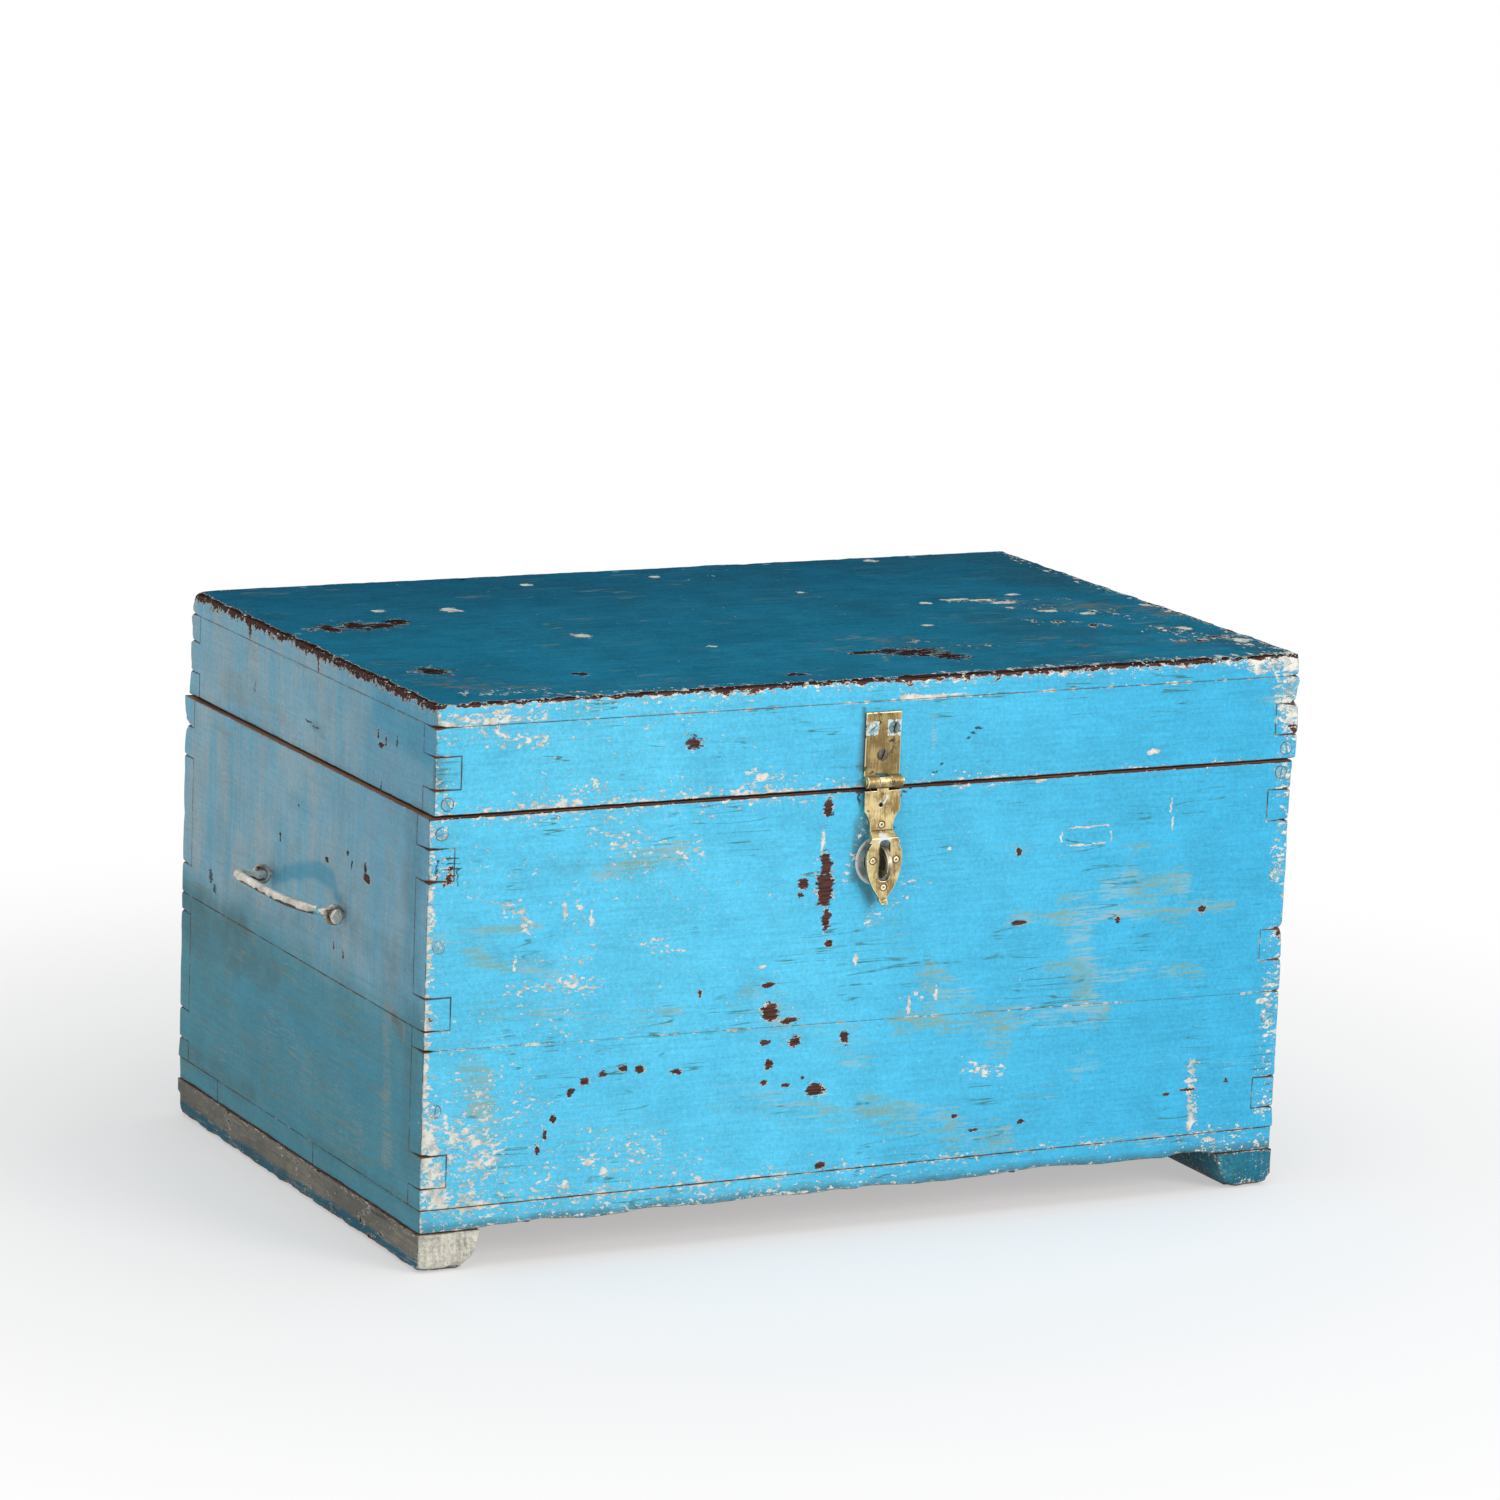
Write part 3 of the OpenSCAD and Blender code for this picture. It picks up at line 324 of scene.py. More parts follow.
CLEANED = on_left(
    (62, 256, 36, 266, 13, 0.9), (36, 266, 4, 276, 14, 1.0), (4, 276, -34, 284, 15, 1.0),
    (-34, 284, -64, 282, 16, 1.0), (-64, 282, -80, 268, 13, 0.9), (-150, 440, -240, 430, 40, 0.7),
    (30, 330, -40, 330, 22, 0.5), (120, 140, -240, 130, 60, 0.5),
)
# How dark a joint's line is: most of them, along the front, under the lid top and on the ends
PLAIN_LINE, FRONT_LINE, LID_LINE, END_LINE = 0.8, 0.1, 0.35, 0.9


def wear_fields(points, seam, rim):
    """Where the paint has chips, rubbed places, bare wood, joint lines, grime with painted shade,
    and clean paint.
    """
    front_left = (points[:, 1] < FRONT_Y + 1) * np.clip((120 - points[:, 0]) / 300, 0, 1)
    chip = 0.16 + 0.10 * wander(points, 62, 11) + 0.30 * np.exp(-rim / 7) * \
        (0.7 + 0.5 * wander(points, 34, 12)) + 0.06 * np.exp(-seam / 6) + 0.1 * front_left
    chip = np.maximum(chip, strokes_at(points, CHIPPED) * (1 + 0.22 * wander(points, 19, 13)))
    thin = strokes_at(points, RUBBED_THIN) * (1 + 0.2 * wander(points, 24, 15))
    rubbed = np.maximum(0.22 + 0.20 * wander(points * (0.5, 0.5, 1.2), 70, 14), thin)
    bare = 0.08 * np.exp(-rim / 5) + strokes_at(points, BARE_WOOD)
    bare *= 1 + 0.25 * wander(points, 14, 16)
    line = np.full(len(points), PLAIN_LINE)
    line[on_front_seam(points)] = FRONT_LINE
    line[np.abs(points[:, 2] - TOP_UNDERSIDE) < 4] = LID_LINE
    line[np.abs(np.abs(points[:, 0]) - RIGHT) < 1] = END_LINE
    grime = np.maximum(0.12 + 0.12 * wander(points, 90, 23), strokes_at(points, GRIME_AND_SHADE))
    return {"chip": chip, "rubbed": rubbed, "bare": bare, "line": line, "grime": grime,
            "clean": strokes_at(points, CLEANED)}


# Putting meshes into the scene

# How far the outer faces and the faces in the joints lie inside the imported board, in millimetres
OUTER_INSET, JOINT_INSET = 0.12, 0.03
# Place of the inside finish in a board's list, after one for each of its six sides
INSIDE = 6


def add_piece(name, points, faces, nodes, body, materials, fields=None, index=None,
              sharp=None):
    """A piece from points in millimetres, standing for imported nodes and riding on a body."""
    mesh = bpy.data.meshes.new(name)
    mesh.from_pydata((points * MM).tolist(), [], [list(f) for f in faces])
    for label, values in (fields or {}).items():
        field = mesh.attributes.new(label, "FLOAT", "POINT")
        field.data.foreach_set("value", np.asarray(values, np.float32))
    for material in materials:
        mesh.materials.append(material)
    if index is not None:
        mesh.polygons.foreach_set("material_index", np.asarray(index, np.int32))
    mesh.polygons.foreach_set("use_smooth", np.ones(len(mesh.polygons), bool))
    if sharp:
        mesh.set_sharp_from_angle(angle=math.radians(sharp))
    mesh.update()
    piece = bpy.data.objects.new(name, mesh)
    bpy.context.scene.collection.objects.link(piece)
    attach(piece, body)
    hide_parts(*nodes)
    return piece


def lattice(boxes, step):
    """The skin of a union of boxes: its points, its faces, and each face's axis and side."""
    cuts = [sorted({round(float(v), 3) for box in boxes for v in (box[0][a], box[1][a])})
            for a in range(3)]
    lines = [cell_lines(c, s) for c, s in zip(cuts, step)]
    mids = [(line[1:] + line[:-1]) / 2 for line in lines]
    grid = np.stack(np.meshgrid(*mids, indexing="ij"), -1)
    solid = np.zeros(grid.shape[:3], bool)
    for low, high in boxes:
        solid |= np.all((grid > low) & (grid < high), axis=-1)
    corners, axes, sides = skin(solid)
    shape = tuple(count + 1 for count in solid.shape)
    used, quads = np.unique(np.ravel_multi_index(tuple(np.moveaxis(corners, -1, 0)), shape),
                            return_inverse=True)
    points = np.stack([line[i] for line, i in zip(lines, np.unravel_index(used, shape))], 1)
    return points, quads.reshape(-1, 4), axes, sides


def board(node, body, boxes, finishes, shell, rims, step=(4, 9, 9), shape=None, rough=1.0,
          forms=None, fields=wear_fields):
    """A board made of boxes, with worn edges, uneven faces and a finish for each side."""
    points, quads, axes, sides = lattice(boxes, step)
    low, high = shell
    seam = edge_distance(points, boxes)
    rim = np.sort(np.minimum(np.abs(points - low), np.abs(high - points)), axis=1)[:, 1]
    moved, outward = round_off(points, forms or boxes, worn_radius(points, rims, rough))
    grain = moved * np.array([0.12 if s == min(step) else 1.0 for s in step])
    swell = 0.22 * wander(moved, 70, 5) + 0.10 * wander(grain, 9, 6) + 0.05 * wander(grain, 3, 8)
    joint = np.clip((seam - 6) / 10, 0, 1)
    outside = np.any((np.abs(points - low) < 0.1) | (np.abs(points - high) < 0.1), axis=1)
    swell = swell * rough * (0.4 + 0.6 * joint) - OUTER_INSET
    moved += outward * np.where(outside, swell, -JOINT_INSET)[:, None]
    if shape:
        moved = shape(moved)
    moved = np.clip(moved, low, high)

    middle = points[quads].mean(1)
    outer = (np.abs(middle - low) < 0.5) & (sides[:, None] < 0)
    outer |= (np.abs(middle - high) < 0.5) & (sides[:, None] > 0)
    shown = outer[np.arange(len(quads)), axes]
    index = np.where(shown, axes * 2 + (sides > 0), INSIDE)
    return add_piece(f"worn_{node}", moved, quads.tolist(), [node], body, finishes,
                     {"seam": seam, "rim": rim, **fields(points, seam, rim)}, index)


def rows_of(items, name, width, kind=float):
    """One property of every item of a mesh, as rows of numbers."""
    values = np.empty(len(items) * width, kind)
    items.foreach_get(name, values)
    return values.reshape(-1, width)


def solids_of(node):
    """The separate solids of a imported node, each as its points in millimetres."""
    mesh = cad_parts[node].data
    points = rows_of(mesh.vertices, "co", 3) / MM
    _, welded = np.unique(points.round(2), axis=0, return_inverse=True)
    a, b = welded.ravel()[rows_of(mesh.edges, "vertices", 2, np.int64)].T
    label = np.arange(welded.max() + 1)
    before = None
    while not np.array_equal(before, label):
        before = label.copy()
        lowest = np.minimum(label[a], label[b])
        np.minimum.at(label, a, lowest)
        np.minimum.at(label, b, lowest)
    owner = label[welded.ravel()]
    return [points[owner == value] for value in np.unique(owner)]


# Building up materials

class Web:
    """Places nodes in a tree and joins them."""

    def __init__(self, tree):
        self.tree = tree

    def put(self, kind, inputs=None, **settings):
        node = self.tree.nodes.new(kind)
        for name, value in settings.items():
            setattr(node, name, value)
        for name, value in (inputs or {}).items():
            self.feed(node.inputs[name], value)
        return node

    def feed(self, socket, value):
        if isinstance(value, bpy.types.NodeSocket):
            self.tree.links.new(value, socket)
        else:
            socket.default_value = value

    def math(self, operation, a, b=0.0, c=0.0, clamp=False):
        node = self.put("ShaderNodeMath", {0: a, 1: b, 2: c}, operation=operation, use_clamp=clamp)
        return node.outputs[0]

    def times(self, a, b):
        return self.math("MULTIPLY", a, b)

    def most(self, *values):
        """The greatest of several values."""
        greatest = values[0]
        for value in values[1:]:
            greatest = self.math("MAXIMUM", greatest, value)
        return greatest

    def rest(self, share):
        """What a share leaves of 1."""
        return self.math("SUBTRACT", 1.0, share)

    def vector(self, operation, a, b=(0, 0, 0), out=0):
        return self.put("ShaderNodeVectorMath", {0: a, 1: b}, operation=operation).outputs[out]

    def ramp(self, value, low, high, to=(0, 1)):
        node = self.put("ShaderNodeMapRange", {"Value": value, "From Min": low, "From Max": high,
                                               "To Min": to[0], "To Max": to[1]},
                        interpolation_type="SMOOTHSTEP")
        return node.outputs[0]

    def mix(self, factor, a, b, blend="MIX"):
        """Blends two colours, each a socket or a triple in 0-255 steps."""
        node = self.put("ShaderNodeMix", data_type="RGBA", blend_type=blend)
        for socket, value in zip((node.inputs[0], node.inputs[6], node.inputs[7]), (factor, a, b)):
            self.feed(socket, srgb(*value) if isinstance(value, tuple) else value)
        return node.outputs[2]

    def noise(self, vector, scale, detail=3.0, roughness=0.55, distortion=0.0):
        node = self.put("ShaderNodeTexNoise", {
            "Vector": vector, "Scale": scale, "Detail": detail, "Roughness": roughness,
            "Distortion": distortion})
        return node.outputs[0]

    def streaks(self, vector, stretch, detail, roughness):
        """Noise drawn out along an axis; stretch is small along it and large across it."""
        return self.noise(self.vector("MULTIPLY", vector, stretch), 1.0, detail, roughness)

    def bump(self, shader, height, distance, strength):
        """Raises a material's surface by a height; the distance is in metres."""
        node = self.put("ShaderNodeBump", {"Height": height, "Distance": distance,
                                           "Strength": strength})
        self.feed(shader.inputs["Normal"], node.outputs[0])

    def use(self, group, **inputs):
        node = self.put("ShaderNodeGroup", node_tree=group)
        for name, value in inputs.items():
            self.feed(node.inputs[name], value)
        return node


def effect(name, inputs, outputs):
    """An empty node group with named sockets; gives its web, its input and its output node."""
    tree = bpy.data.node_groups.new(name, "ShaderNodeTree")
    kinds = {"v": "NodeSocketVector", "f": "NodeSocketFloat"}
    for label, kind, value in inputs:
        socket = tree.interface.new_socket(name=label, in_out="INPUT", socket_type=kinds[kind])
        socket.default_value = value
    for label, kind in outputs:
        tree.interface.new_socket(name=label, in_out="OUTPUT", socket_type=kinds[kind])
    web = Web(tree)
    return web, web.put("NodeGroupInput").outputs, web.put("NodeGroupOutput").inputs


def srgb(r, g, b):
    """A colour given in 0-255 steps, as the light-linear colour that nodes take."""
    linear = [c / 12.92 if c <= 0.04045 else ((c + 0.055) / 1.055) ** 2.4
              for c in (r / 255, g / 255, b / 255)]
    return (*linear, 1.0)


# Colours in 0-255 steps
CREAM = (238, 233, 222)
GREY_CREAM = (190, 192, 182)
SAGE = (142, 166, 130)
PALE_RUB = (160, 192, 196)
HAIRLINE = (66, 108, 98)
# Tint of grime and of painted shade
GRIME_AND_SHADE_TINT = (74, 92, 88)
BARE_BROWN = (96, 58, 50)
DEEP_BROWN = (56, 34, 30)
DARK_LINE = (48, 44, 44)


def grain_effect():
    """Streaks along the grain; Stretch is small along it and large across it."""
    web, given, out = effect("wood_grain", [
        ("Vector", "v", (0, 0, 0)), ("Stretch", "v", (5, 90, 90))],
        [("Streaks", "f"), ("Fibre", "f")])
    along = web.vector("MULTIPLY", given["Vector"], given["Stretch"])
    web.feed(out["Streaks"], web.noise(along, 1.0, 5.0, 0.6, 0.4))
    web.feed(out["Fibre"], web.noise(along, 7.0, 3.0, 0.65))
    return web.tree


def cover_effect():
    """A layer in ragged patches: Cover is how much of the surface it takes, Border its rim."""
    web, given, out = effect("ragged_cover", [
        ("Vector", "v", (0, 0, 0)), ("Stretch", "v", (150, 150, 240)),
        ("Cover", "f", 0.3), ("Softness", "f", 0.012)],
        [("Mask", "f"), ("Border", "f")])
    cell = web.streaks(given["Vector"], given["Stretch"], 6.0, 0.68)
    limit = web.math("MULTIPLY_ADD", given["Cover"], -0.56, 0.8)
    above = web.math("SUBTRACT", cell, limit)
    web.feed(out["Mask"], web.ramp(above, 0.0, given["Softness"]))
    web.feed(out["Border"], web.ramp(above, -0.035, -0.02))
    return web.tree


def texture_effect():
    """Old brushed paint: Tone is uneven lightness about 1, Hair is thin scratches in patches."""
    web, given, out = effect("brushed_texture", [
        ("Vector", "v", (0, 0, 0)), ("Stretch", "v", (6, 110, 110)), ("Contrast", "f", 1.0)],
        [("Tone", "f"), ("Hair", "f")])
    along = web.vector("MULTIPLY", given["Vector"], given["Stretch"])
    fine = web.ramp(web.noise(along, 3.4, 4.0, 0.75), 0.3, 0.7, (-0.08, 0.08))
    grit = web.ramp(web.noise(given["Vector"], 300.0, 4.0, 0.8), 0.3, 0.7, (-0.12, 0.12))
    cloud = web.ramp(web.noise(given["Vector"], 26.0, 5.0, 0.65), 0.3, 0.7, (-0.07, 0.07))
    total = web.math("ADD", web.math("ADD", fine, grit), cloud)
    web.feed(out["Tone"], web.math("MULTIPLY_ADD", total, given["Contrast"], 1.0))
    level = web.math("SUBTRACT", web.noise(along, 1.0, 2.0, 0.5), 0.5)
    patch = web.ramp(web.noise(given["Vector"], 15.0, 4.0, 0.65), 0.52, 0.62)
    thin = web.ramp(web.math("ABSOLUTE", level), 0.016, 0.005)
    web.feed(out["Hair"], web.times(thin, patch))
    return web.tree


def edge_effect():
    """Wear beside an edge, from the distance to it in millimetres."""
    web, given, out = effect("edge_wear", [
        ("Vector", "v", (0, 0, 0)), ("Distance", "f", 10.0), ("Reach", "f", 3.0),
        ("Ragged", "f", 45.0)],
        [("Mask", "f")])
    ragged = web.noise(given["Vector"], given["Ragged"], 5.0, 0.65)
    reach = web.times(web.ramp(ragged, 0.42, 0.78), given["Reach"])
    left = web.math("SUBTRACT", reach, given["Distance"])
    web.feed(out["Mask"], web.ramp(left, 0.0, 0.35))
    return web.tree


GRAIN = grain_effect()
COVER = cover_effect()
TEXTURE = texture_effect()
EDGE = edge_effect()


def new_material(name):
    """An empty material: its web, its Principled shader and its output node come with it."""
    material = bpy.data.materials.new(name)
    material.use_nodes = True
    material.node_tree.nodes.clear()
    web = Web(material.node_tree)
    shader = web.put("ShaderNodeBsdfPrincipled")
    out = web.put("ShaderNodeOutputMaterial", {"Surface": shader.outputs[0]})
    return material, web, shader, out


def place(web):
    return web.put("ShaderNodeTexCoord").outputs["Object"]


def across(web, at, axis):
    """One coordinate of a place, in metres."""
    return web.put("ShaderNodeSeparateXYZ", {0: at}).outputs[axis]


def field(web, name):
    """A number that the mesh carries at each point."""
    return web.put("ShaderNodeAttribute", attribute_name=name).outputs["Fac"]


# Further than any mark reaches, and how far noise usually breaks up a mark's rim
FAR, PLAIN_RAGGED = 9.0, 3.0


def marks(web, vector, spots, axes, grain, ragged=PLAIN_RAGGED):
    """Distance to single marks, below 1 inside them.

    Each spot is its middle on two axes, half its width and half its height, in millimetres.
    """
    warp = web.put("ShaderNodeTexNoise", {"Vector": vector, "Scale": 190.0, "Detail": 4.0,
                                          "Roughness": 0.7})
    shift = web.vector("SUBTRACT", warp.outputs["Color"], (0.5, 0.5, 0.5))
    bent = web.put("ShaderNodeVectorMath", {0: shift, 1: (0.009, 0.009, 0.006), 2: vector},
                   operation="MULTIPLY_ADD").outputs[0]
    nearest = FAR
    for a, b, wide, high in spots:
        centre, scale = [0.0] * 3, [0.0] * 3
        scale[axes[0]], scale[axes[1]] = 1 / (wide * MM), 1 / (high * MM)
        centre[axes[0]], centre[axes[1]] = a / wide, b / high
        scaled = web.vector("MULTIPLY", bent, tuple(scale))
        away = web.vector("DISTANCE", scaled, tuple(centre), out=1)
        nearest = web.math("MINIMUM", away, nearest)
    level = web.streaks(vector, tuple(60 + 1.8 * v for v in grain), 5.0, 0.75)
    return web.math("MULTIPLY_ADD", web.math("SUBTRACT", level, 0.5), ragged, nearest)


# How old paint looks unless a finish says otherwise: stretches are noise steps to the metre on
# each axis, gains and strengths are factors, and reaches are millimetres
PAINT = dict(
    flake=(165, 165, 290), chip_gain=1.0, bare_gain=1.0, rubs=(SAGE, PALE_RUB), rub_gain=0.77,
    rub_strength=0.6, streak=(38, 560, 560), hair=HAIRLINE, hair_strength=0.75, grime=GRIME_AND_SHADE_TINT,
    brown=(BARE_BROWN, DEEP_BROWN), cream=(CREAM, GREY_CREAM), seam_reach=2.0, rim_reach=2.6,
    spots=(), pale_spots=(), dark_spots=(), spot_axes=(0, 2), ragged=PLAIN_RAGGED,
    washes=None, roughness=0.55, gloss=0.15, contrast=1.0)


def patches(web, at, stretch, cover, softness=0.012):
    """Ragged patches that take a share of the surface."""
    return web.use(COVER, Vector=at, Stretch=stretch, Cover=cover,
                   Softness=softness).outputs["Mask"]


def coated(web, at, coat, shade, grain, look):
    """The coat's colour, uneven, rubbed, scratched and grimy, darkened by painted shade where
    strokes put it, and its fine lightness.
    """
    colour = web.mix(web.ramp(web.noise(at, 5.0, 4.0, 0.6), 0.35, 0.65), coat, shade)
    if look.washes:
        colour = look.washes(web, at, colour)
    texture = web.use(TEXTURE, Vector=at, Stretch=grain, Contrast=look.contrast).outputs
    even = web.put("ShaderNodeCombineXYZ", {axis: texture["Tone"] for axis in range(3)}).outputs[0]
    colour = web.mix(1.0, colour, even, "MULTIPLY")
    rubbed = web.times(field(web, "rubbed"), look.rub_gain)
    haze = patches(web, at, (90, 90, 160), rubbed, 0.16)
    colour = web.mix(web.times(haze, 0.45 * look.rub_strength), colour, look.rubs[1])
    thin = patches(web, at, look.streak, rubbed, 0.07)
    rub = web.mix(web.ramp(web.noise(at, 16.0, 2.0), 0.42, 0.58), *look.rubs)
    colour = web.mix(web.times(thin, look.rub_strength), colour, rub)
    colour = web.mix(web.times(texture["Hair"], look.hair_strength), colour, look.hair)
    # Grime, and painted shade where the strokes put it, darken the coat
    grime_and_shade_level = web.math("MULTIPLY_ADD", web.noise(at, 34.0, 5.0, 0.65), 0.6, field(web, "grime"))
    colour = web.mix(web.ramp(grime_and_shade_level, 0.56, 1.2, (0, 0.75)), colour, look.grime)
    return colour, texture["Tone"]


def bared(web, at, grain, seam, look):
    """How far the cream ground and the brown wood show through the coat."""
    amount = web.times(field(web, "chip"), look.chip_gain)
    chip = patches(web, at, look.flake, amount)
    speck = patches(web, at, tuple(2.4 * v for v in look.flake), web.times(amount, 0.8))
    edges = [web.use(EDGE, Vector=at, Distance=distance, Reach=reach, Ragged=ragged).outputs[0]
             for distance, reach, ragged in ((seam, look.seam_reach, 95.0),
                                             (field(web, "rim"), look.rim_reach, 80.0))]
    bare = web.use(COVER, Vector=at, Stretch=tuple(0.62 * v for v in look.flake),
                   Cover=web.times(field(web, "bare"), look.bare_gain)).outputs
    pale = web.most(chip, speck, *edges, bare["Border"])
    wood = web.times(bare["Mask"], web.rest(patches(web, at, look.flake, 0.36)))
    if look.spots:
        near = marks(web, at, look.spots, look.spot_axes, grain, look.ragged)
        broken = web.ramp(web.noise(at, 150.0, 4.0, 0.7), 0.45, 0.58)
        pale = web.most(pale, web.times(web.ramp(near, 1.2, 1.12), broken))
        wood = web.most(wood, web.ramp(near, 1.0, 0.94))
    if look.pale_spots:
        near = marks(web, at, look.pale_spots, look.spot_axes, grain)
        pale = web.most(pale, web.ramp(near, 1.0, 0.9))
    return pale, wood


def joint_lines(web, at, grain, seam, look):
    """Dark lines in the joints, with fainter stretches, and cracks."""
    gaps = web.ramp(web.noise(at, 30.0, 5.0, 0.7), 0.38, 0.58, (0.2, 1.0))
    joint = web.times(web.times(web.ramp(seam, 1.0, 0.35), gaps), field(web, "line"))
    if look.dark_spots:
        near = marks(web, at, look.dark_spots, look.spot_axes, grain)
        joint = web.most(joint, web.ramp(near, 1.0, 0.8, (0, 0.85)))
    return joint


def painted(name, coat, shade, grain, **changes):
    """Old paint over a cream ground on brown wood, worn at its edges."""
    look = SimpleNamespace(**{**PAINT, **changes})
    material, web, shader, _ = new_material(name)
    at = place(web)
    seam = field(web, "seam")
    fibre = web.use(GRAIN, Vector=at, Stretch=grain).outputs["Fibre"]
    colour, tone = coated(web, at, coat, shade, grain, look)
    pale, wood = bared(web, at, grain, seam, look)
    ground = web.mix(web.ramp(web.noise(at, 120.0, 4.0, 0.7), 0.4, 0.66), *look.cream)
    colour = web.mix(pale, colour, ground)
    colour = web.mix(wood, colour, web.mix(web.ramp(fibre, 0.4, 0.62), *look.brown))
    colour = web.mix(joint_lines(web, at, grain, seam, look), colour, DARK_LINE)
    shader.inputs["Specular IOR Level"].default_value = look.gloss
    web.feed(shader.inputs["Base Color"], colour)
    web.feed(shader.inputs["Roughness"],
             web.math("MULTIPLY_ADD", pale, 0.2, look.roughness, clamp=True))
    gone = web.math("MULTIPLY_ADD", pale, 0.6, wood)
    height = web.math("MULTIPLY_ADD", fibre, 0.3, web.times(gone, -1.0))
    height = web.math("MULTIPLY_ADD", tone, 0.5, height)
    web.bump(shader, height, 0.0005, 0.7)
    return material


def bare_wood(name, light, dark, stretch):
    """Unpainted old boards, as on the inside and in the joints."""
    material, web, shader, _ = new_material(name)
    at = place(web)
    grain = web.use(GRAIN, Vector=at, Stretch=stretch).outputs
    colour = web.mix(web.ramp(grain["Streaks"], 0.35, 0.65), light, dark)
    stain = web.ramp(web.noise(at, 6.0, 4.0), 0.45, 0.75)
    web.feed(shader.inputs["Base Color"], web.mix(web.times(stain, 0.5), colour, dark))
    shader.inputs["Roughness"].default_value = 0.8
    web.bump(shader, grain["Fibre"], 0.0004, 0.6)
    return material


def metal(name, bright, dull, crust, roughness, shine=None, crust_amount=0.4, size=60.0,
          metallic=1.0, brush=(900, 900, 90), paint=None, paint_base=0.0):
    """Old metal: worn bright on its ridges, dull and crusted elsewhere, with paint left on it."""
    material, web, shader, _ = new_material(name)
    at = place(web)
    ridge = field(web, "ridge")
    cloud = web.noise(at, size, 5.0, 0.6)
    fine = web.noise(at, size * 9, 4.0, 0.7)
    lines = web.streaks(at, brush, 3.0, 0.6)
    colour = web.mix(web.ramp(web.math("MULTIPLY_ADD", lines, 0.5, cloud), 0.6, 0.9), bright, dull)
    handled = web.ramp(web.math("MULTIPLY_ADD", fine, 0.5, ridge), 0.42, 0.8)
    colour = web.mix(web.times(handled, 0.85), colour, shine or bright)
    level = web.math("MULTIPLY_ADD", fine, 0.35, web.noise(at, size * 1.7, 4.0, 0.65))
    dirt = web.ramp(web.math("SUBTRACT", level, 1.18 - crust_amount), 0.0, 0.12)
    # The crust also shows where a piece's ridge field was lowered as painted shade
    hollow = web.ramp(web.math("MULTIPLY_ADD", fine, -0.6, ridge), -0.36, -0.62)
    dirt = web.most(dirt, hollow)
    colour = web.mix(dirt, colour, crust)
    bare = web.rest(dirt)
    if paint:
        amount = web.math("ADD", field(web, "paint"), paint_base)
        left = patches(web, at, (260, 260, 260), amount)
        colour = web.mix(left, colour, paint)
        bare = web.times(bare, web.rest(left))
    web.feed(shader.inputs["Base Color"], colour)
    web.feed(shader.inputs["Metallic"], web.times(bare, metallic))
    rough = web.math("MULTIPLY_ADD", fine, 0.25, roughness)
    rough = web.math("MULTIPLY_ADD", web.rest(bare), 0.3, rough, clamp=True)
    web.feed(shader.inputs["Roughness"], rough)
    height = web.math("MULTIPLY_ADD", fine, 0.3, web.math("MULTIPLY_ADD", lines, 0.25, cloud))
    web.bump(shader, height, 0.0004, 0.5)
    return material


# The trunk's finishes

ALONG_X = (6, 110, 110)
ALONG_Y = (110, 6, 110)
UPRIGHT = (110, 110, 6)
FRONT_SPOTS = (
    (-43.3, 361, 4.5, 8), (-43.7, 313, 5, 11), (-43.5, 293, 8, 16), (-41.9, 266, 4, 9),
    (-39, 245.8, 3.5, 3), (-64.5, 299, 5, 4.5), (-66.8, 289, 2.5, 2), (-93, 215, 6, 2),
    (-90, 192, 8, 7), (-71, 184, 8, 2.5), (-94, 167, 5, 2.5), (-66, 165, 5.5, 5),
    (-19.8, 164.6, 4, 5.5), (-90, 148, 4, 4.5), (-73.8, 129, 4, 2), (-45.8, 122.6, 8, 6),
    (-38.3, 58, 4.5, 4), (-167.7, 421.8, 7.5, 5.5), (-297, 94, 2, 5), (-291, 106, 2, 4),
    (-283.7, 119.6, 2.6, 4), (-269, 138.4, 3.5, 3.5), (-257, 147.4, 4, 3), (-241, 152.7, 4, 2.5),
    (-222.4, 155.3, 4, 2.5), (-207, 154, 4.5, 2.8), (-174.3, 148.7, 5.5, 2.5), (-155, 213, 2, 3),
    (137, 311, 2.4, 4.5), (139, 251, 6.5, 2.2), (235.7, 246, 2.4, 3.4), (317.7, 249.7, 3.4, 3),
    (87.4, 87.8, 3.4, 1.8), (151, 78, 3.4, 2.2), (107, 74.8, 5, 1.2), (292, 90, 3, 1.4),
    (312, 92, 8, 1.2), (350, 97, 2, 2), (-94, 133, 2.4, 2), (-58, 133, 2.6, 1.6))
FRONT_FLECKS = (
    (64, 195.5, 1.6, 7.5), (39, 187, 1.5, 8), (200, 328.5, 22, 0.8), (201, 313.4, 20, 0.9),
    (177, 322, 0.9, 6.5), (224.5, 319, 0.9, 4.5), (282, 342, 0.9, 6), (285, 326, 0.9, 6),
    (316, 109, 4, 1.2), (314.5, 100, 5, 2), (314.4, 89, 3, 3.4), (113.3, 124, 2, 3),
    (128.3, 128.4, 3, 1.6), (-105.8, 389.2, 5.4, 3), (-47.6, 334, 1.6, 9), (-99, 231, 3, 2),
    (-13.4, 230.3, 2.4, 5.4), (-278.8, 290, 1.6, 8), (-255, 283, 1.6, 7), (-264, 292, 2.4, 2.6),
    (-322, 250, 1.2, 7), (60, 449, 22, 1), (390, 178, 8.8, 1.6), (384, 165, 6, 3),
    (37, 293.6, 4, 0.9), (-271, 62.4, 3.6, 4), (-237.3, 70.2, 4.5, 4), (-251, 79, 5, 3),
    (317, 60.6, 3, 6), (338, 45.5, 5, 1.6), (-318, 292, 4, 1.6), (-330, 299, 6, 1.2),
    (71, 319, 1.8, 1.6), (155, 372, 6, 2), (262, 389, 6, 2.4))
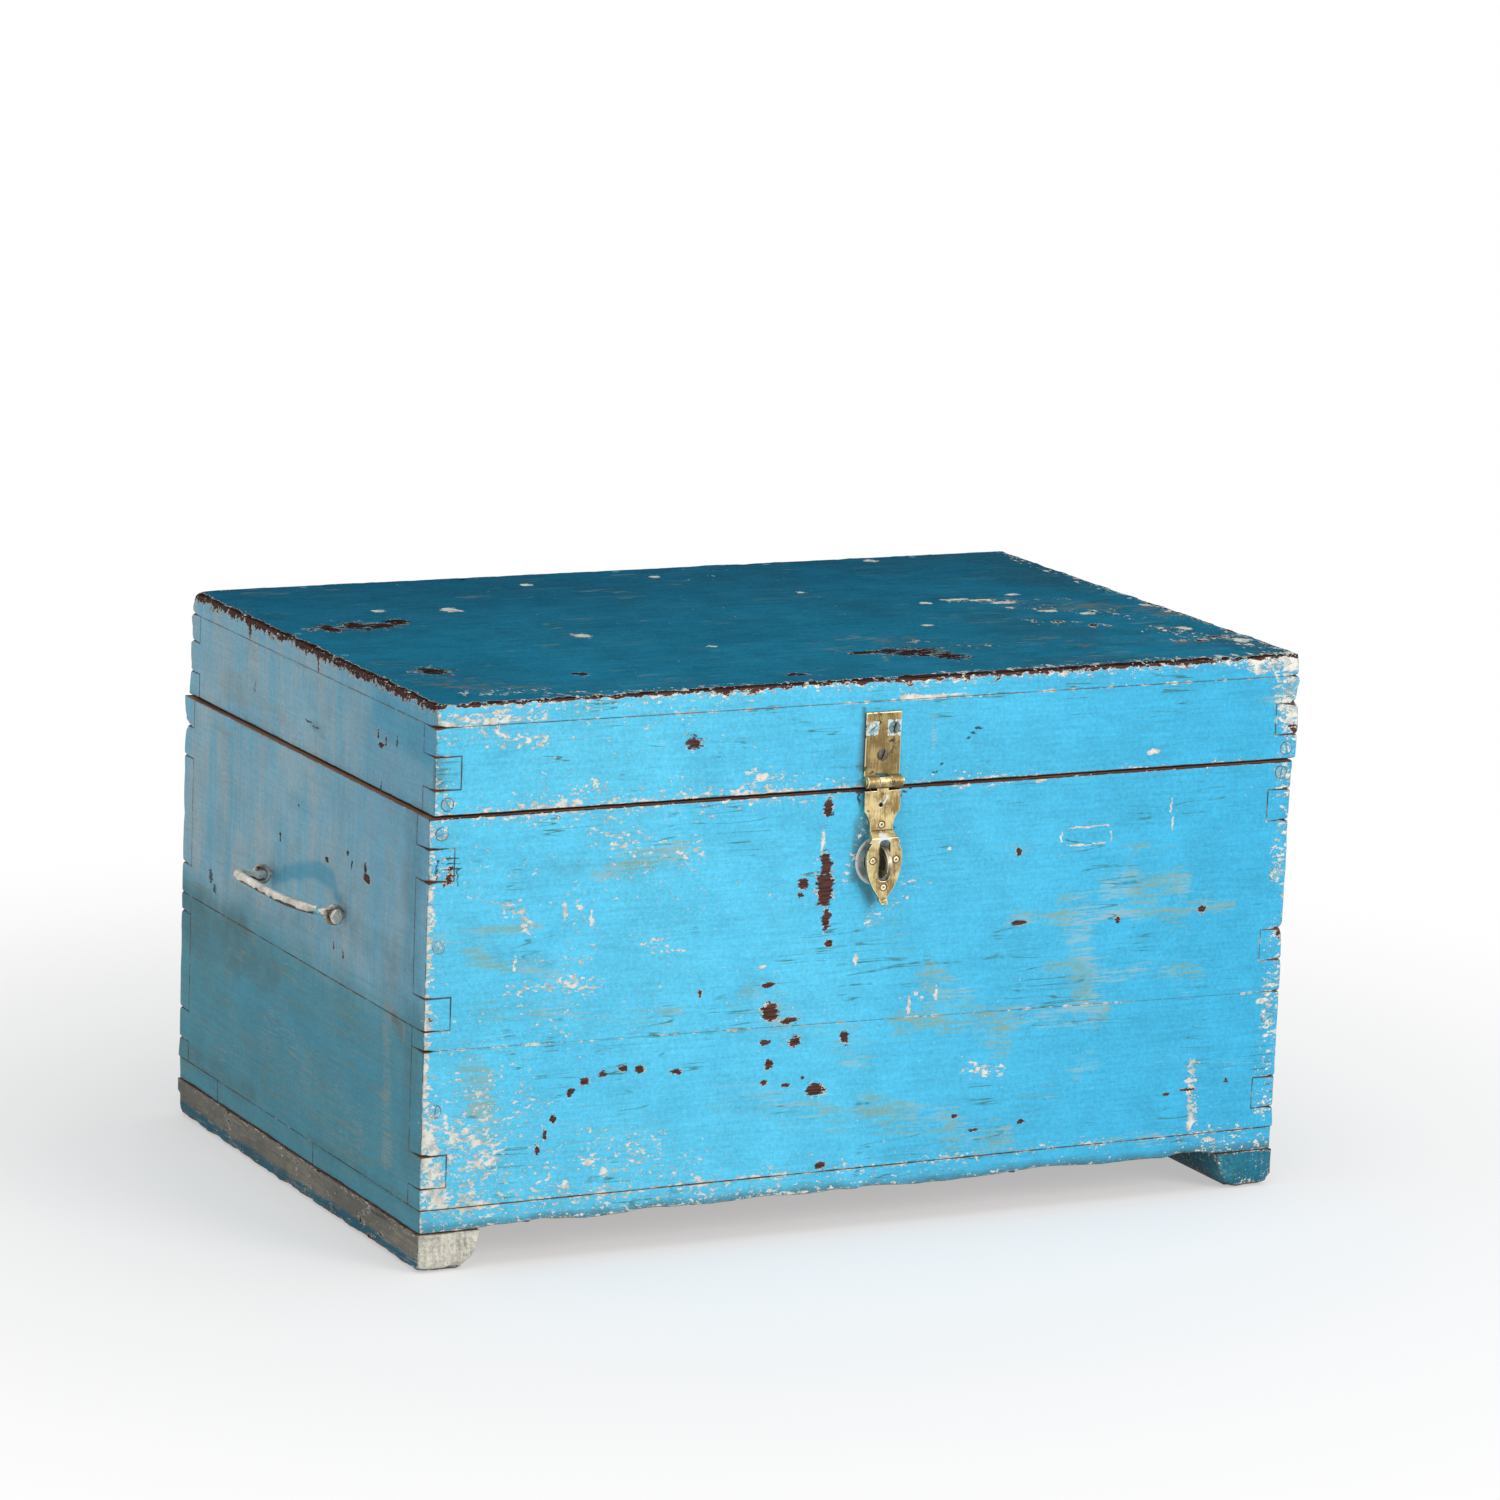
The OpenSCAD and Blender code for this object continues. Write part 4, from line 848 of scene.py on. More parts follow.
FRONT_CRACKS = ((31, 373, 2.6, 1.3), (26.5, 369.5, 2.6, 1.5), (22, 366, 2.4, 1.5),
                (18.5, 362.5, 2, 1.4), (94, 419, 3, 1.1), (89, 415, 3, 1.3), (84, 411, 2.4, 1.2),
                (60, 391, 2, 1), (54, 385, 3, 0.8), (-16, 369, 1.2, 9), (-17, 372, 5, 1.6),
                (20.5, 374, 4, 1.2), (-378, 341, 8, 0.9), (-380, 337, 9, 0.7),
                (-379, 332, 8, 0.8), (-374, 326, 0.8, 9), (-392, 330, 0.8, 12))


def front_washes(web, at, colour):
    """Deeper towards the right."""
    rightward = web.ramp(across(web, at, 0), -0.25, 0.4, (0.0, 0.95))
    return web.mix(rightward, colour, (64, 178, 220))


FRONT_PAINT = painted("front_blue_paint", (98, 206, 240), (90, 199, 236), ALONG_X,
                      spots=FRONT_SPOTS, pale_spots=FRONT_FLECKS, dark_spots=FRONT_CRACKS,
                      washes=front_washes)


def end_washes(web, at, colour):
    """Fine upright greyed streaks, bluer near the front, and a deeper lower board."""
    y, z = across(web, at, 1), across(web, at, 2)
    for size, strength in (((3, 330, 14), 0.36), ((3, 90, 5), 0.3), ((3, 24, 9), 0.46)):
        streak = web.ramp(web.streaks(at, size, 5.0, 0.7), 0.4, 0.66, (0, strength))
        colour = web.mix(streak, colour, (186, 192, 190))
    forward = web.times(web.ramp(y, 0.02, -0.2, (0, 0.6)), web.ramp(z, 0.26, 0.36, (0.4, 1.0)))
    colour = web.mix(forward, colour, (92, 168, 200))
    drift = web.math("MULTIPLY_ADD", web.noise(at, 12.0, 4.0), 0.05, z)
    colour = web.mix(web.ramp(drift, 0.262, 0.212, (0, 0.88)), colour, (74, 147, 166))
    worn = web.ramp(web.streaks(at, (3, 14, 160), 5.0, 0.75), 0.5, 0.66, (0, 0.5))
    colour = web.mix(web.times(web.ramp(z, 0.24, 0.2), worn), colour, (120, 142, 130))
    clean = web.ramp(field(web, "clean"), 0.3, 0.8, (0, 0.6))
    return web.mix(clean, colour, (60, 158, 192))


END_SPOTS = ((-136, 299, 8, 4), (-148, 412, 6, 3), (-158, 418, 1.5, 5), (-95, 312, 3, 3),
             (48, 296, 2.0, 5), (10, 330, 1.6, 1.6), (-132, 306, 2, 6), (-53, 297, 3, 2.4),
             (133, 456, 3, 6), (-16, 452, 1.2, 7), (-104, 304, 1.2, 3.5), (-90, 226, 1.4, 3),
             (-70, 229, 1.2, 3.4), (-142, 420, 1.2, 4))
END_CRACKS = ((2, 402, 9, 1.2), (-12, 400, 8, 1.0), (-180, 420, 1.4, 6), (-150, 380, 1.4, 6),
              (200, 228, 4, 6), (192, 219, 4, 5), (120, 408, 1, 5))
END_PAINT = painted("end_grey_blue_paint", (120, 190, 218), (108, 180, 208), ALONG_Y,
                    flake=(260, 260, 260), chip_gain=0.5, contrast=0.8,
                    brown=((84, 52, 46), (46, 32, 30)),
                    rubs=((150, 152, 138), (166, 172, 168)), rub_gain=1.1,
                    rub_strength=0.34, streak=(760, 60, 760), hair=(158, 158, 142),
                    hair_strength=0.55, bare_gain=0.95, seam_reach=1.2, rim_reach=1.6,
                    washes=end_washes, spots=END_SPOTS, dark_spots=END_CRACKS, spot_axes=(1, 2),
                    grime=(80, 100, 98), gloss=0.1)


def top_washes(web, at, colour):
    """Darker towards the back, with greyed streaks and a greyer right side."""
    rearward = web.ramp(across(web, at, 1), -0.1, 0.27, (0.0, 0.8))
    colour = web.mix(rearward, colour, (26, 84, 110))
    rightward = web.ramp(across(web, at, 0), 0.0, 0.4, (0.25, 1.0))
    cloud = web.times(rightward, web.ramp(web.noise(at, 9.0, 5.0, 0.7), 0.4, 0.62))
    colour = web.mix(web.times(cloud, 0.6), colour, (38, 78, 94))
    streak = web.ramp(web.streaks(at, (7, 60, 60), 5.0, 0.7), 0.5, 0.72, (0, 0.3))
    return web.mix(streak, colour, (58, 104, 118))


TOP_SPOTS = ((83, -160, 24, 14), (66, -150, 14, 9), (104, -184, 10, 15), (40, -150, 14, 6),
             (-352, 72, 9, 14), (-324, 76, 10, 16), (-304, 70, 12, 12), (-283, 84, 10, 12),
             (-342, -127, 12, 14), (-396, 60, 6, 12), (-60, -220, 8, 6), (-230, -170, 5, 8))
TOP_FLECKS = ((237, 52, 14, 4), (258, 44, 12, 4), (273, 26, 12, 5), (202, 43, 6, 5),
              (154, -52, 6, 4), (-158, -17, 8, 10), (-215, 123, 8, 9), (13, 275, 8, 8),
              (257, 250, 6, 6), (-277, 134, 7, 5), (-101, 217, 6, 5), (27, 225, 5, 5),
              (366, -125, 7, 7), (384, -188, 10, 9), (390, -17, 5, 6), (290, -20, 10, 5),
              (318, -40, 9, 5), (300, 60, 8, 4), (-70, -90, 5, 4), (120, 120, 4, 4))
TOP_PAINT = painted("top_teal_paint", (32, 112, 141), (28, 102, 129), (6, 44, 110),
                    flake=(130, 90, 230), chip_gain=0.98, contrast=1.2,
                    rubs=((110, 102, 88), (84, 112, 116)), rub_gain=0.72,
                    rub_strength=0.66, streak=(56, 170, 420), hair=(104, 128, 124),
                    hair_strength=0.5, seam_reach=2.0, rim_reach=2.8, washes=top_washes,
                    roughness=0.85, gloss=0.0, ragged=5.5, spots=TOP_SPOTS,
                    pale_spots=TOP_FLECKS, spot_axes=(0, 1),
                    brown=((60, 42, 38), (34, 25, 25)),
                    cream=((206, 204, 192), (150, 160, 156)))
BOARD_WOOD = bare_wood("bare_board_wood", (138, 100, 76), (82, 56, 44), ALONG_X)
END_WOOD = bare_wood("bare_end_wood", (138, 100, 76), (82, 56, 44), ALONG_Y)
# One finish for each side of a board: left, right, front, back, below, above and inside
FINISHES = [END_PAINT, END_PAINT, FRONT_PAINT, END_PAINT] + [BOARD_WOOD] * 3
END_FINISHES = FINISHES[:4] + [END_WOOD] * 3
TOP_FINISHES = FINISHES[:5] + [TOP_PAINT, BOARD_WOOD]


def runner_side_washes(web, at, colour):
    """Blue paint left along the foot."""
    height = web.math("MULTIPLY_ADD", web.noise(at, 26.0, 5.0, 0.7), 0.016, across(web, at, 2))
    return web.mix(web.ramp(height, 0.0225, 0.0175), colour, (40, 104, 126))


def runner_front_washes(web, at, colour):
    """Blue paint left in the band along the foot and the inner curve."""
    band = web.math("MULTIPLY_ADD", web.noise(at, 90.0, 4.0), 0.3, field(web, "band"))
    return web.mix(web.ramp(band, 0.62, 0.8), colour, (44, 116, 138))


RUNNER_SIDE = painted("runner_side_paint", (146, 140, 128), (110, 108, 102), ALONG_Y,
                      flake=(260, 120, 360), chip_gain=0.8, contrast=1.6,
                      rubs=((170, 160, 140), (92, 98, 96)), rub_gain=0.8,
                      streak=(500, 40, 500), rim_reach=1.6, gloss=0.1, hair=(64, 58, 54),
                      washes=runner_side_washes)
RUNNER_FRONT = painted("runner_front_paint", (214, 208, 194), (196, 192, 178), UPRIGHT,
                       flake=(240, 240, 240), rubs=((112, 106, 94), (150, 160, 156)),
                       rub_gain=0.5, streak=(300, 300, 120), rim_reach=0.5, gloss=0.1,
                       contrast=2.4, hair=(80, 74, 68), grime=(120, 116, 104),
                       bare_gain=0.5, washes=runner_front_washes)
RUNNER_TEAL = painted("runner_teal_paint", (44, 126, 150), (36, 108, 132), UPRIGHT,
                      flake=(300, 300, 300), rubs=((172, 200, 200), (90, 150, 150)),
                      rub_gain=0.78, streak=(300, 300, 200), rim_reach=1.6, gloss=0.1, contrast=1.6)


# The boards

WALLS = (WALLS_LOW, WALLS_HIGH)
LID = (LID_LOW, LID_HIGH)
BOTTOM = (BOTTOM_LOW, BOTTOM_HIGH)
# How far a board's corner boxes reach behind the corner, so that they blend with its middle
DEEP = 18


def shell_rims(low, high, upright, upper, lower, reach=7):
    """Rounding along the upright corners, the upper and the lower edges of a box."""
    rims = []
    for z, value in ((high[2], upper), (low[2], lower)):
        for axis in (0, 1):
            for side in (low, high):
                a, b = low - 1, high + 1
                a[2], b[2] = z - reach, z + reach
                a[axis], b[axis] = side[axis] - reach, side[axis] + reach
                rims.append((a, b, value))
    for x in (low[0], high[0]):
        for y in (low[1], high[1]):
            rims.append(((x - reach, y - reach, low[2] + reach),
                         (x + reach, y + reach, high[2] - reach), upright))
    return rims


def corner_pairs(boxes):
    """Boxes as pairs of corners that can be reckoned with."""
    return [(np.array(low, float), np.array(high, float)) for low, high in boxes]


def long_board_boxes(shell, y0, z0, z1, fingers):
    """A front or back board: its middle, and what stands between the end boards' fingers."""
    low, high = shell
    y1 = y0 + WALL_T
    boxes = [((low[0] + WALL_T, y0, z0), (high[0] - WALL_T, y1, z1))]
    levels = [z0] + [v for f in fingers for v in f] + [z1]
    for a, b in zip(levels[::2], levels[1::2]):
        boxes.append(((low[0], y0, a), (low[0] + WALL_T + DEEP, y1, b)))
        boxes.append(((high[0] - WALL_T - DEEP, y0, a), (high[0], y1, b)))
    return corner_pairs(boxes)


def end_board_boxes(shell, side, z0, z1, fingers):
    """An end board: its middle, and its fingers through the front and back."""
    low, high = shell
    x0 = low[0] if side < 0 else high[0] - WALL_T
    x1 = x0 + WALL_T
    boxes = [((x0, low[1] + WALL_T, z0), (x1, high[1] - WALL_T, z1))]
    for a, b in fingers:
        boxes.append(((x0, low[1], a), (x1, low[1] + WALL_T + DEEP, b)))
        boxes.append(((x0, high[1] - WALL_T - DEEP, a), (x1, high[1], b)))
    return corner_pairs(boxes)


def slope_seam(points):
    """Tilts the seam between the long boards, and leaves the fingers level."""
    x, z = points[:, 0], points[:, 2]
    share = np.interp(z, [LOWER_FINGER[1], FRONT_SEAM, END_SEAM], [0, 1, 0])
    points[:, 2] = z - share * SEAM_SLOPE * x / WALLS_HIGH[0]
    return points


WALL_RIMS = shell_rims(*WALLS, upright=3, upper=1.3, lower=1.2)
LID_RIMS = shell_rims(*LID, upright=3, upper=5, lower=1.1)
BOTTOM_RIMS = shell_rims(*BOTTOM, upright=3, upper=1, lower=2.5)
UPPER_FINGERS = [MIDDLE_FINGER, UPPER_FINGER]

for side, y0 in (("front", FRONT_Y), ("back", WALLS_HIGH[1] - WALL_T)):
    for node, body, shell, rims, z0, z1, fingers, shape in (
            (f"{side}_board_upper", "chest", WALLS, WALL_RIMS, FRONT_SEAM, WALLS_HIGH[2],
             UPPER_FINGERS, slope_seam),
            (f"{side}_board_lower", "chest", WALLS, WALL_RIMS, WALLS_LOW[2], FRONT_SEAM,
             [LOWER_FINGER], slope_seam),
            (f"lid_{side}_rail", "lid", LID, LID_RIMS, LID_LOW[2], TOP_UNDERSIDE,
             [LID_FINGER], None)):
        board(node, body,
              long_board_boxes(shell, y0, z0, z1, fingers), FINISHES, shell, rims, shape=shape)

for name, side in SIDES:
    for node, body, shell, rims, z0, z1, fingers in (
            (f"{name}_end_upper", "chest", WALLS, WALL_RIMS, END_SEAM, WALLS_HIGH[2],
             UPPER_FINGERS),
            (f"{name}_end_lower", "chest", WALLS, WALL_RIMS, WALLS_LOW[2], END_SEAM,
             [LOWER_FINGER]),
            (f"lid_{name}_rail", "lid", LID, LID_RIMS, LID_LOW[2], TOP_UNDERSIDE, [LID_FINGER])):
        board(node, body, end_board_boxes(shell, side, z0, z1, fingers),
              END_FINISHES, shell, rims, step=(9, 4, 9))

board("lid_top", "lid", [box_mm("lid_top")], TOP_FINISHES, LID, LID_RIMS,
      step=(4, 5, 9))


def wavy_foot(points):
    """Wears the lower front edge of the bottom into shallow waves between the runners."""
    share = np.clip(1 - (points[:, 2] - BOTTOM_LOW[2]) / 14, 0, 1) * np.clip(
        1 - (points[:, 1] - BOTTOM_LOW[1]) / 30, 0, 1)
    inside = np.clip((BOTTOM_HIGH[0] - 50 - np.abs(points[:, 0])) / 20, 0, 1)
    along = points * (1, 0.2, 0.2)
    wave = 0.7 + wander(along, 52, 41) + 0.5 * wander(along, 15, 42)
    points[:, 2] += 2.4 * np.clip(wave, 0, 2) * share * inside
    return points


for part in ("front", "middle", "rear"):
    node = f"bottom_board_{part}"
    board(node, "chest", [box_mm(node)], FINISHES, BOTTOM, BOTTOM_RIMS,
          shape=wavy_foot if part == "front" else None)

# A runner's width and height, and how far its inner face has worn in at the floor
RUNNER_W, RUNNER_H, RUNNER_WEAR = 54.0, 33.0, 16.0


def runner_shape(side):
    """Curves a runner's inner face in towards the floor."""
    def bend(points):
        outer = WALLS_LOW[0] if side < 0 else WALLS_HIGH[0]
        r = (RUNNER_H ** 2 + RUNNER_WEAR ** 2) / (2 * RUNNER_WEAR)
        z = np.clip(RUNNER_H - points[:, 2], 0, r)
        reach = RUNNER_W - r + np.sqrt(r * r - z * z)
        points[:, 0] = outer - side * np.abs(points[:, 0] - outer) * reach / RUNNER_W
        return points
    return bend


def runner_fields(points, seam, rim):
    """Wear of a runner, and the band left painted along its foot and the right one's inner face."""
    values = wear_fields(points, seam, rim)
    inner = np.abs(points[:, 0]) - (RIGHT - RUNNER_W)
    foot = np.where(points[:, 0] < 0, points[:, 2], np.minimum(points[:, 2], inner))
    values["band"] = np.clip(1.15 - foot / 4, 0, 1)
    values["chip"] = 0.26 + 0.2 * wander(points, 26, 17) + 0.2 * np.exp(-rim / 5)
    values["rubbed"] = 0.6 + 0.25 * wander(points, 40, 18)
    values["bare"] = 0.16 + 0.3 * np.clip(wander(points, 22, 19), 0, 1) + 0.3 * np.exp(-rim / 2)
    return values


RUNNER_FINISHES = {
    "left": [RUNNER_SIDE, RUNNER_FRONT, RUNNER_FRONT, RUNNER_SIDE] + [BOARD_WOOD] * 3,
    "right": [RUNNER_TEAL, RUNNER_SIDE, RUNNER_TEAL, RUNNER_SIDE] + [BOARD_WOOD] * 3}

for name, side in SIDES:
    low, high = box_mm(f"{name}_runner")
    tall = (low.copy(), high + np.array([0, 0, 30.0]))
    outer = low[0] if side < 0 else high[0]
    front, back = low[1] + 9, high[1] - 20
    rims = [((low[0] - 1, low[1] - 1, low[2] - 1), (high[0] + 1, front, 9), 8.0),
            ((low[0] - 1, back, -1), (high[0] + 1, high[1] + 1, 20), 10.0),
            ((outer - 9, front, -1), (outer + 9, back, 9), 8.0)]
    board(f"{name}_runner", "chest", [(low, high)], RUNNER_FINISHES[name],
          (low, high), rims, step=(6, 4, 6), shape=runner_shape(side), rough=0.8, forms=[tall],
          fields=runner_fields)


# Small metal pieces

BRASS = metal("old_brass", (222, 202, 150), (146, 120, 76), (58, 46, 34), 0.28,
              shine=(255, 244, 206), crust_amount=0.41, size=70.0,
              paint=(226, 234, 232), paint_base=0.06)
DULL_BRASS = metal("dull_brass_leaf", (176, 156, 108), (126, 106, 70), (58, 48, 38),
                   0.36, shine=(240, 224, 178), crust_amount=0.46, size=60.0,
                   paint=(214, 222, 216), paint_base=0.08)
IRON = metal("forged_iron", (226, 220, 208), (182, 176, 166), (74, 64, 60), 0.34,
             shine=(250, 248, 240), crust_amount=0.38, size=60.0, metallic=0.6,
             brush=(120, 900, 120), paint=(112, 186, 204), paint_base=0.12)
EYE_IRON = metal("iron_eyes", (206, 200, 190), (140, 132, 124), (62, 52, 50), 0.4,
                 crust_amount=0.46, size=90.0, metallic=0.7, paint=(104, 172, 192),
                 paint_base=0.26)
STAPLE_IRON = metal("staple_iron", (186, 174, 148), (120, 108, 86), (58, 50, 42), 0.34,
                    shine=(228, 222, 204), crust_amount=0.44, size=90.0)
PLATE_IRON = metal("painted_plate", (196, 204, 202), (130, 140, 140), (64, 60, 56), 0.5,
                   shine=(236, 236, 230), crust_amount=0.4, size=90.0, metallic=0.35,
                   paint=(126, 196, 216), paint_base=0.4)
STEEL = metal("old_steel", (140, 134, 126), (92, 84, 78), (70, 50, 42), 0.42,
              shine=(206, 202, 192), crust_amount=0.5, paint=(96, 150, 172),
              paint_base=0.16)
NAIL_PAINT = metal("painted_nail_heads", (40, 112, 138), (34, 98, 122),
                   (60, 46, 42), 0.7, crust_amount=0.3, metallic=0.0)


def reworked(node, body, material, voxel=0.45, rounds=2, wobble=0.08, dress=None):
    """A packed metal part with eased, uneven edges, and its ridges marked for the finish."""
    blank = bpy.data.objects.new(node + "_blank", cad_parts[node].data.copy())
    bpy.context.scene.collection.objects.link(blank)
    cover = blank.modifiers.new("skin", "REMESH")
    cover.mode = "VOXEL"
    cover.voxel_size = voxel * MM
    graph = bpy.context.evaluated_depsgraph_get()
    mesh = bpy.data.meshes.new_from_object(blank.evaluated_get(graph))
    points = rows_of(mesh.vertices, "co", 3) / MM
    normals = rows_of(mesh.vertex_normals, "vector", 3)
    a, b = rows_of(mesh.edges, "vertices", 2, np.int64).T
    faces = [tuple(p.vertices) for p in mesh.polygons]
    count = len(points)
    copied = blank.data
    bpy.data.objects.remove(blank)
    for spare in (copied, mesh):
        bpy.data.meshes.remove(spare)
    beside = np.maximum(np.bincount(a, minlength=count) + np.bincount(b, minlength=count), 1)

    def around(values):
        """The mean of each point's neighbours."""
        return np.stack([np.bincount(a, column[b], count) + np.bincount(b, column[a], count)
                         for column in values.T], 1) / beside[:, None]

    ridge = -np.sum((around(points) - points) * normals, axis=1)[:, None] / voxel
    for _ in range(3):
        ridge = (ridge + around(ridge)) / 2
    for _ in range(rounds):
        points += 0.6 * (around(points) - points)
    points += normals * (wobble * (wander(points, 8, 21) + 0.4 * wander(points, 2.6, 22)))[:, None]
    fields = {"ridge": np.clip(ridge[:, 0] * 6, -1, 1), "paint": np.zeros(count)}
    if dress:
        dress(points, normals, fields)
    points = np.clip(points, *box_mm(node))
    add_piece(f"worn_{node}", points, faces, [node], body, [material], fields)


# The middle of the hasp and the height of its pin; its punched rings lie below the pin
HASP_X = 3.5
HASP_Z = LID_LOW[2] + 5.5
PUNCHES = ((0, -36.3), (-10.8, -64.7), (10.8, -64.7), (0, -87.5))
PUNCH_R = 2.9
SLOT_TOP = -49.0
SLIT_MIDDLE = -15.6
# Paint left round the leaf's upper screws: where each lies and how far the paint reaches
LEAF_PAINT = ((-6.5, 424.7, 5.8), (13.5, 424.7, 7.0))
LEAF_TOP, LEAF_FOOT = 433, 388
# The staple plate's middle, the start of its rim, and of its middle stripped of paint and darkened
# as a painted shadow of the strap
PLATE_Z, PLATE_RIM_R, PLATE_SHADOW_R = 313.5, 18.6, 13


def dress_strap(points, normals, fields):
    """Punched rings, white paint at the top of the slot and in the slit, a painted highlight along
    the left edge, and painted shade on the other sides.
    """
    x, z = points[:, 0] - HASP_X, points[:, 2] - HASP_Z
    facing = normals[:, 1] < -0.55
    for px, pz in PUNCHES:
        away = np.hypot(x - px, z - pz)
        mark = np.exp(-((away - PUNCH_R) / 0.4) ** 2) + 0.6 * np.exp(-(away / 0.6) ** 2)
        points[:, 1] += 0.2 * mark * facing
        lip = np.exp(-((away - PUNCH_R + 0.95) / 0.5) ** 2)
        fields["ridge"][away < PUNCH_R + 1.2] *= 0.2
        fields["ridge"] += (0.8 * lip - 0.75 * mark) * facing
    top = np.hypot((x + 0.5) / 5.6, (z - SLOT_TOP) / 6.4)
    beyond = np.clip(np.abs(z - SLIT_MIDDLE) - 3.5, 0, 9)
    slit = np.abs((x - 2.0) - 0.62 * (z - SLIT_MIDDLE)) / 1.6 + beyond
    fields["paint"] = np.maximum(0.9 * np.clip(1.5 - top, 0, 1), 0.7 * np.clip(1.6 - slit, 0, 1))
    # Painted highlight: whitish paint along the strap's left edge
    fields["paint"] += 0.3 * (points[:, 0] < HASP_X - 15.5)
    # Painted shade: the sides that do not face left are darkened through the crust
    fields["ridge"] -= 0.8 * ((np.abs(normals[:, 1]) < 0.5) & (normals[:, 0] > -0.5))


def dress_leaf(points, normals, fields):
    """Paint left round the two upper screws and along the top, and painted shade on the sides."""
    for x, z, reach in LEAF_PAINT:
        away = np.maximum(np.abs(points[:, 0] - x), np.abs(points[:, 2] - z)) / reach
        fields["paint"] = np.maximum(fields["paint"], 0.56 * np.clip(3.2 - 2.6 * away, 0, 1))
    fields["paint"] += 0.3 * np.clip((points[:, 2] - LEAF_TOP) / 5, 0, 1)
    # Painted shade: the leaf's sides above its foot are darkened through the crust
    fields["ridge"] -= 0.8 * (normals[:, 1] > -0.4) * (points[:, 2] > LEAF_FOOT)


def dress_plate(points, normals, fields):
    """A bright rim round a middle darkened and stripped of paint: a painted shadow of the strap."""
    away = np.hypot(points[:, 0] - HASP_X, points[:, 2] - PLATE_Z)
    # Painted shadow: the middle under the strap goes dark and loses its paint
    fields["ridge"] += 0.5 * (away > PLATE_RIM_R) - 1.0 * (away < PLATE_SHADOW_R)
    fields["paint"] -= 1.0 * (away < PLATE_SHADOW_R)


reworked("hasp_leaf", "lid", DULL_BRASS, dress=dress_leaf)
reworked("hasp_strap", "hasp", BRASS, 0.32, 3, wobble=0.14, dress=dress_strap)
reworked("staple", "chest", STAPLE_IRON, wobble=0.1)
reworked("staple_plate", "chest", PLATE_IRON, dress=dress_plate)
for name, _ in SIDES:
    reworked(f"{name}_handle_eyes", "chest", EYE_IRON, 0.5, wobble=0.12)


# Slotted screws, with paint over most of them

# Shares of a head's radius: rows across it up to its slot, the slot's half width, and the radius
# of its shank and of its point
HEAD_ROWS = (0.985, 0.93, 0.8, 0.62, 0.4, 0.2)
SLOT_SHARE, SHANK_SHARE, POINT_SHARE = 0.1, 0.43, 0.12
SLOT_DEPTH = 1.1


def slotted_screw(head, length, turn, proud):
    """One screw about its own axis: points as (u, v, height over the face), faces and seams."""
    slot_half = SLOT_SHARE * head
    rows = [-head * r for r in HEAD_ROWS] + [-slot_half - 0.08, -slot_half + 0.04, 0]
    rows += [-r for r in rows[-2::-1]]
    share = np.sin(np.linspace(-1, 1, 15) * math.pi / 2)
    grid = np.array([[(math.sqrt(head * head - y * y) * s, y) for s in share] for y in rows])
    r = np.hypot(grid[..., 0], grid[..., 1])
    in_slot = np.abs(grid[..., 1]) < slot_half
    rise = proud * (1 - 0.75 * (r / head) ** 4) - SLOT_DEPTH * in_slot
    near_rim = np.where(in_slot, 0.0, np.maximum(head - r, 0.0))
    gap = np.abs(np.abs(grid[..., 1]) - slot_half)
    seams = list(np.minimum(near_rim, 0.5 + gap).ravel())
    spin = np.array([[math.cos(turn), -math.sin(turn)], [math.sin(turn), math.cos(turn)]])
    local = [(u, v, h) for (u, v), h in zip(grid.reshape(-1, 2) @ spin.T, rise.ravel())]
    ids = np.arange(r.size).reshape(r.shape)
    faces = [(ids[i, j], ids[i, j + 1], ids[i + 1, j + 1], ids[i + 1, j])
             for i in range(r.shape[0] - 1) for j in range(r.shape[1] - 1)]
    loop = [*ids[0], *ids[1:, -1], *ids[-1, -2::-1], *ids[-2:0:-1, 0]]
    ring = [local[k][:2] for k in loop]
    for scale, h in ((1.0, -0.9), (SHANK_SHARE, -3.2), (SHANK_SHARE, 6 - length),
                     (POINT_SHARE, 0.3 - length)):
        start = len(local)
        local += [(u * scale, v * scale, h) for u, v in ring]
        seams += [0.0] * len(ring)
        new = range(start, start + len(ring))
        faces += [(loop[k - 1], loop[k], new[k], new[k - 1]) for k in range(len(ring))]
        loop = new
    faces.append(tuple(loop))
    return np.array(local), faces, seams


def screw_heads(name, node, body, materials, tilts, picks=(0,), proud=0.35, wide=1.0):
    """Domed slotted heads on tapering shanks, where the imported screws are."""
    points, faces, seams, index = [], [], [], []
    for number, solid in enumerate(solids_of(node)):
        low, high = solid.min(0), solid.max(0)
        size, middle = high - low, (low + high) / 2
        axis = int(np.argmax(size))
        flat = [a for a in range(3) if a != axis]
        spread = np.hypot(*(solid[:, flat] - middle[flat]).T)
        upper_r = spread[solid[:, axis] > middle[axis]].max()
        lower_r = spread[solid[:, axis] < middle[axis]].max()
        side, face = (1, high[axis]) if upper_r > lower_r else (-1, low[axis])
        local, own_faces, own_seams = slotted_screw(
            wide * size[flat[0]] / 2, size[axis], tilts[number % len(tilts)], proud)
        placed = np.empty_like(local)
        placed[:, flat] = middle[flat] + local[:, :2]
        placed[:, axis] = face + side * local[:, 2]
        faces += [[len(points) + k for k in own] for own in own_faces]
        index += [picks[number % len(picks)]] * len(own_faces)
        points += list(placed)
        seams += own_seams
    points, seams = np.array(points), np.array(seams)
    levels = {"rim": 30.0, "chip": 0.5, "rubbed": 0.5, "bare": 0.05, "line": 0.85, "paint": 0.3}
    fields = {label: np.full(len(points), level) for label, level in levels.items()}
    fields |= {"seam": seams, "ridge": seams * 0.1}
    piece = add_piece(name, points, faces, [node], body, materials, fields, index,
                      sharp=35)
    face_outwards(piece.data)


def face_outwards(mesh):
    """Turns every face of a mesh outwards."""
    work = bmesh.new()
    work.from_mesh(mesh)
    bmesh.ops.recalc_face_normals(work, faces=work.faces)
    work.to_mesh(mesh)
    work.free()


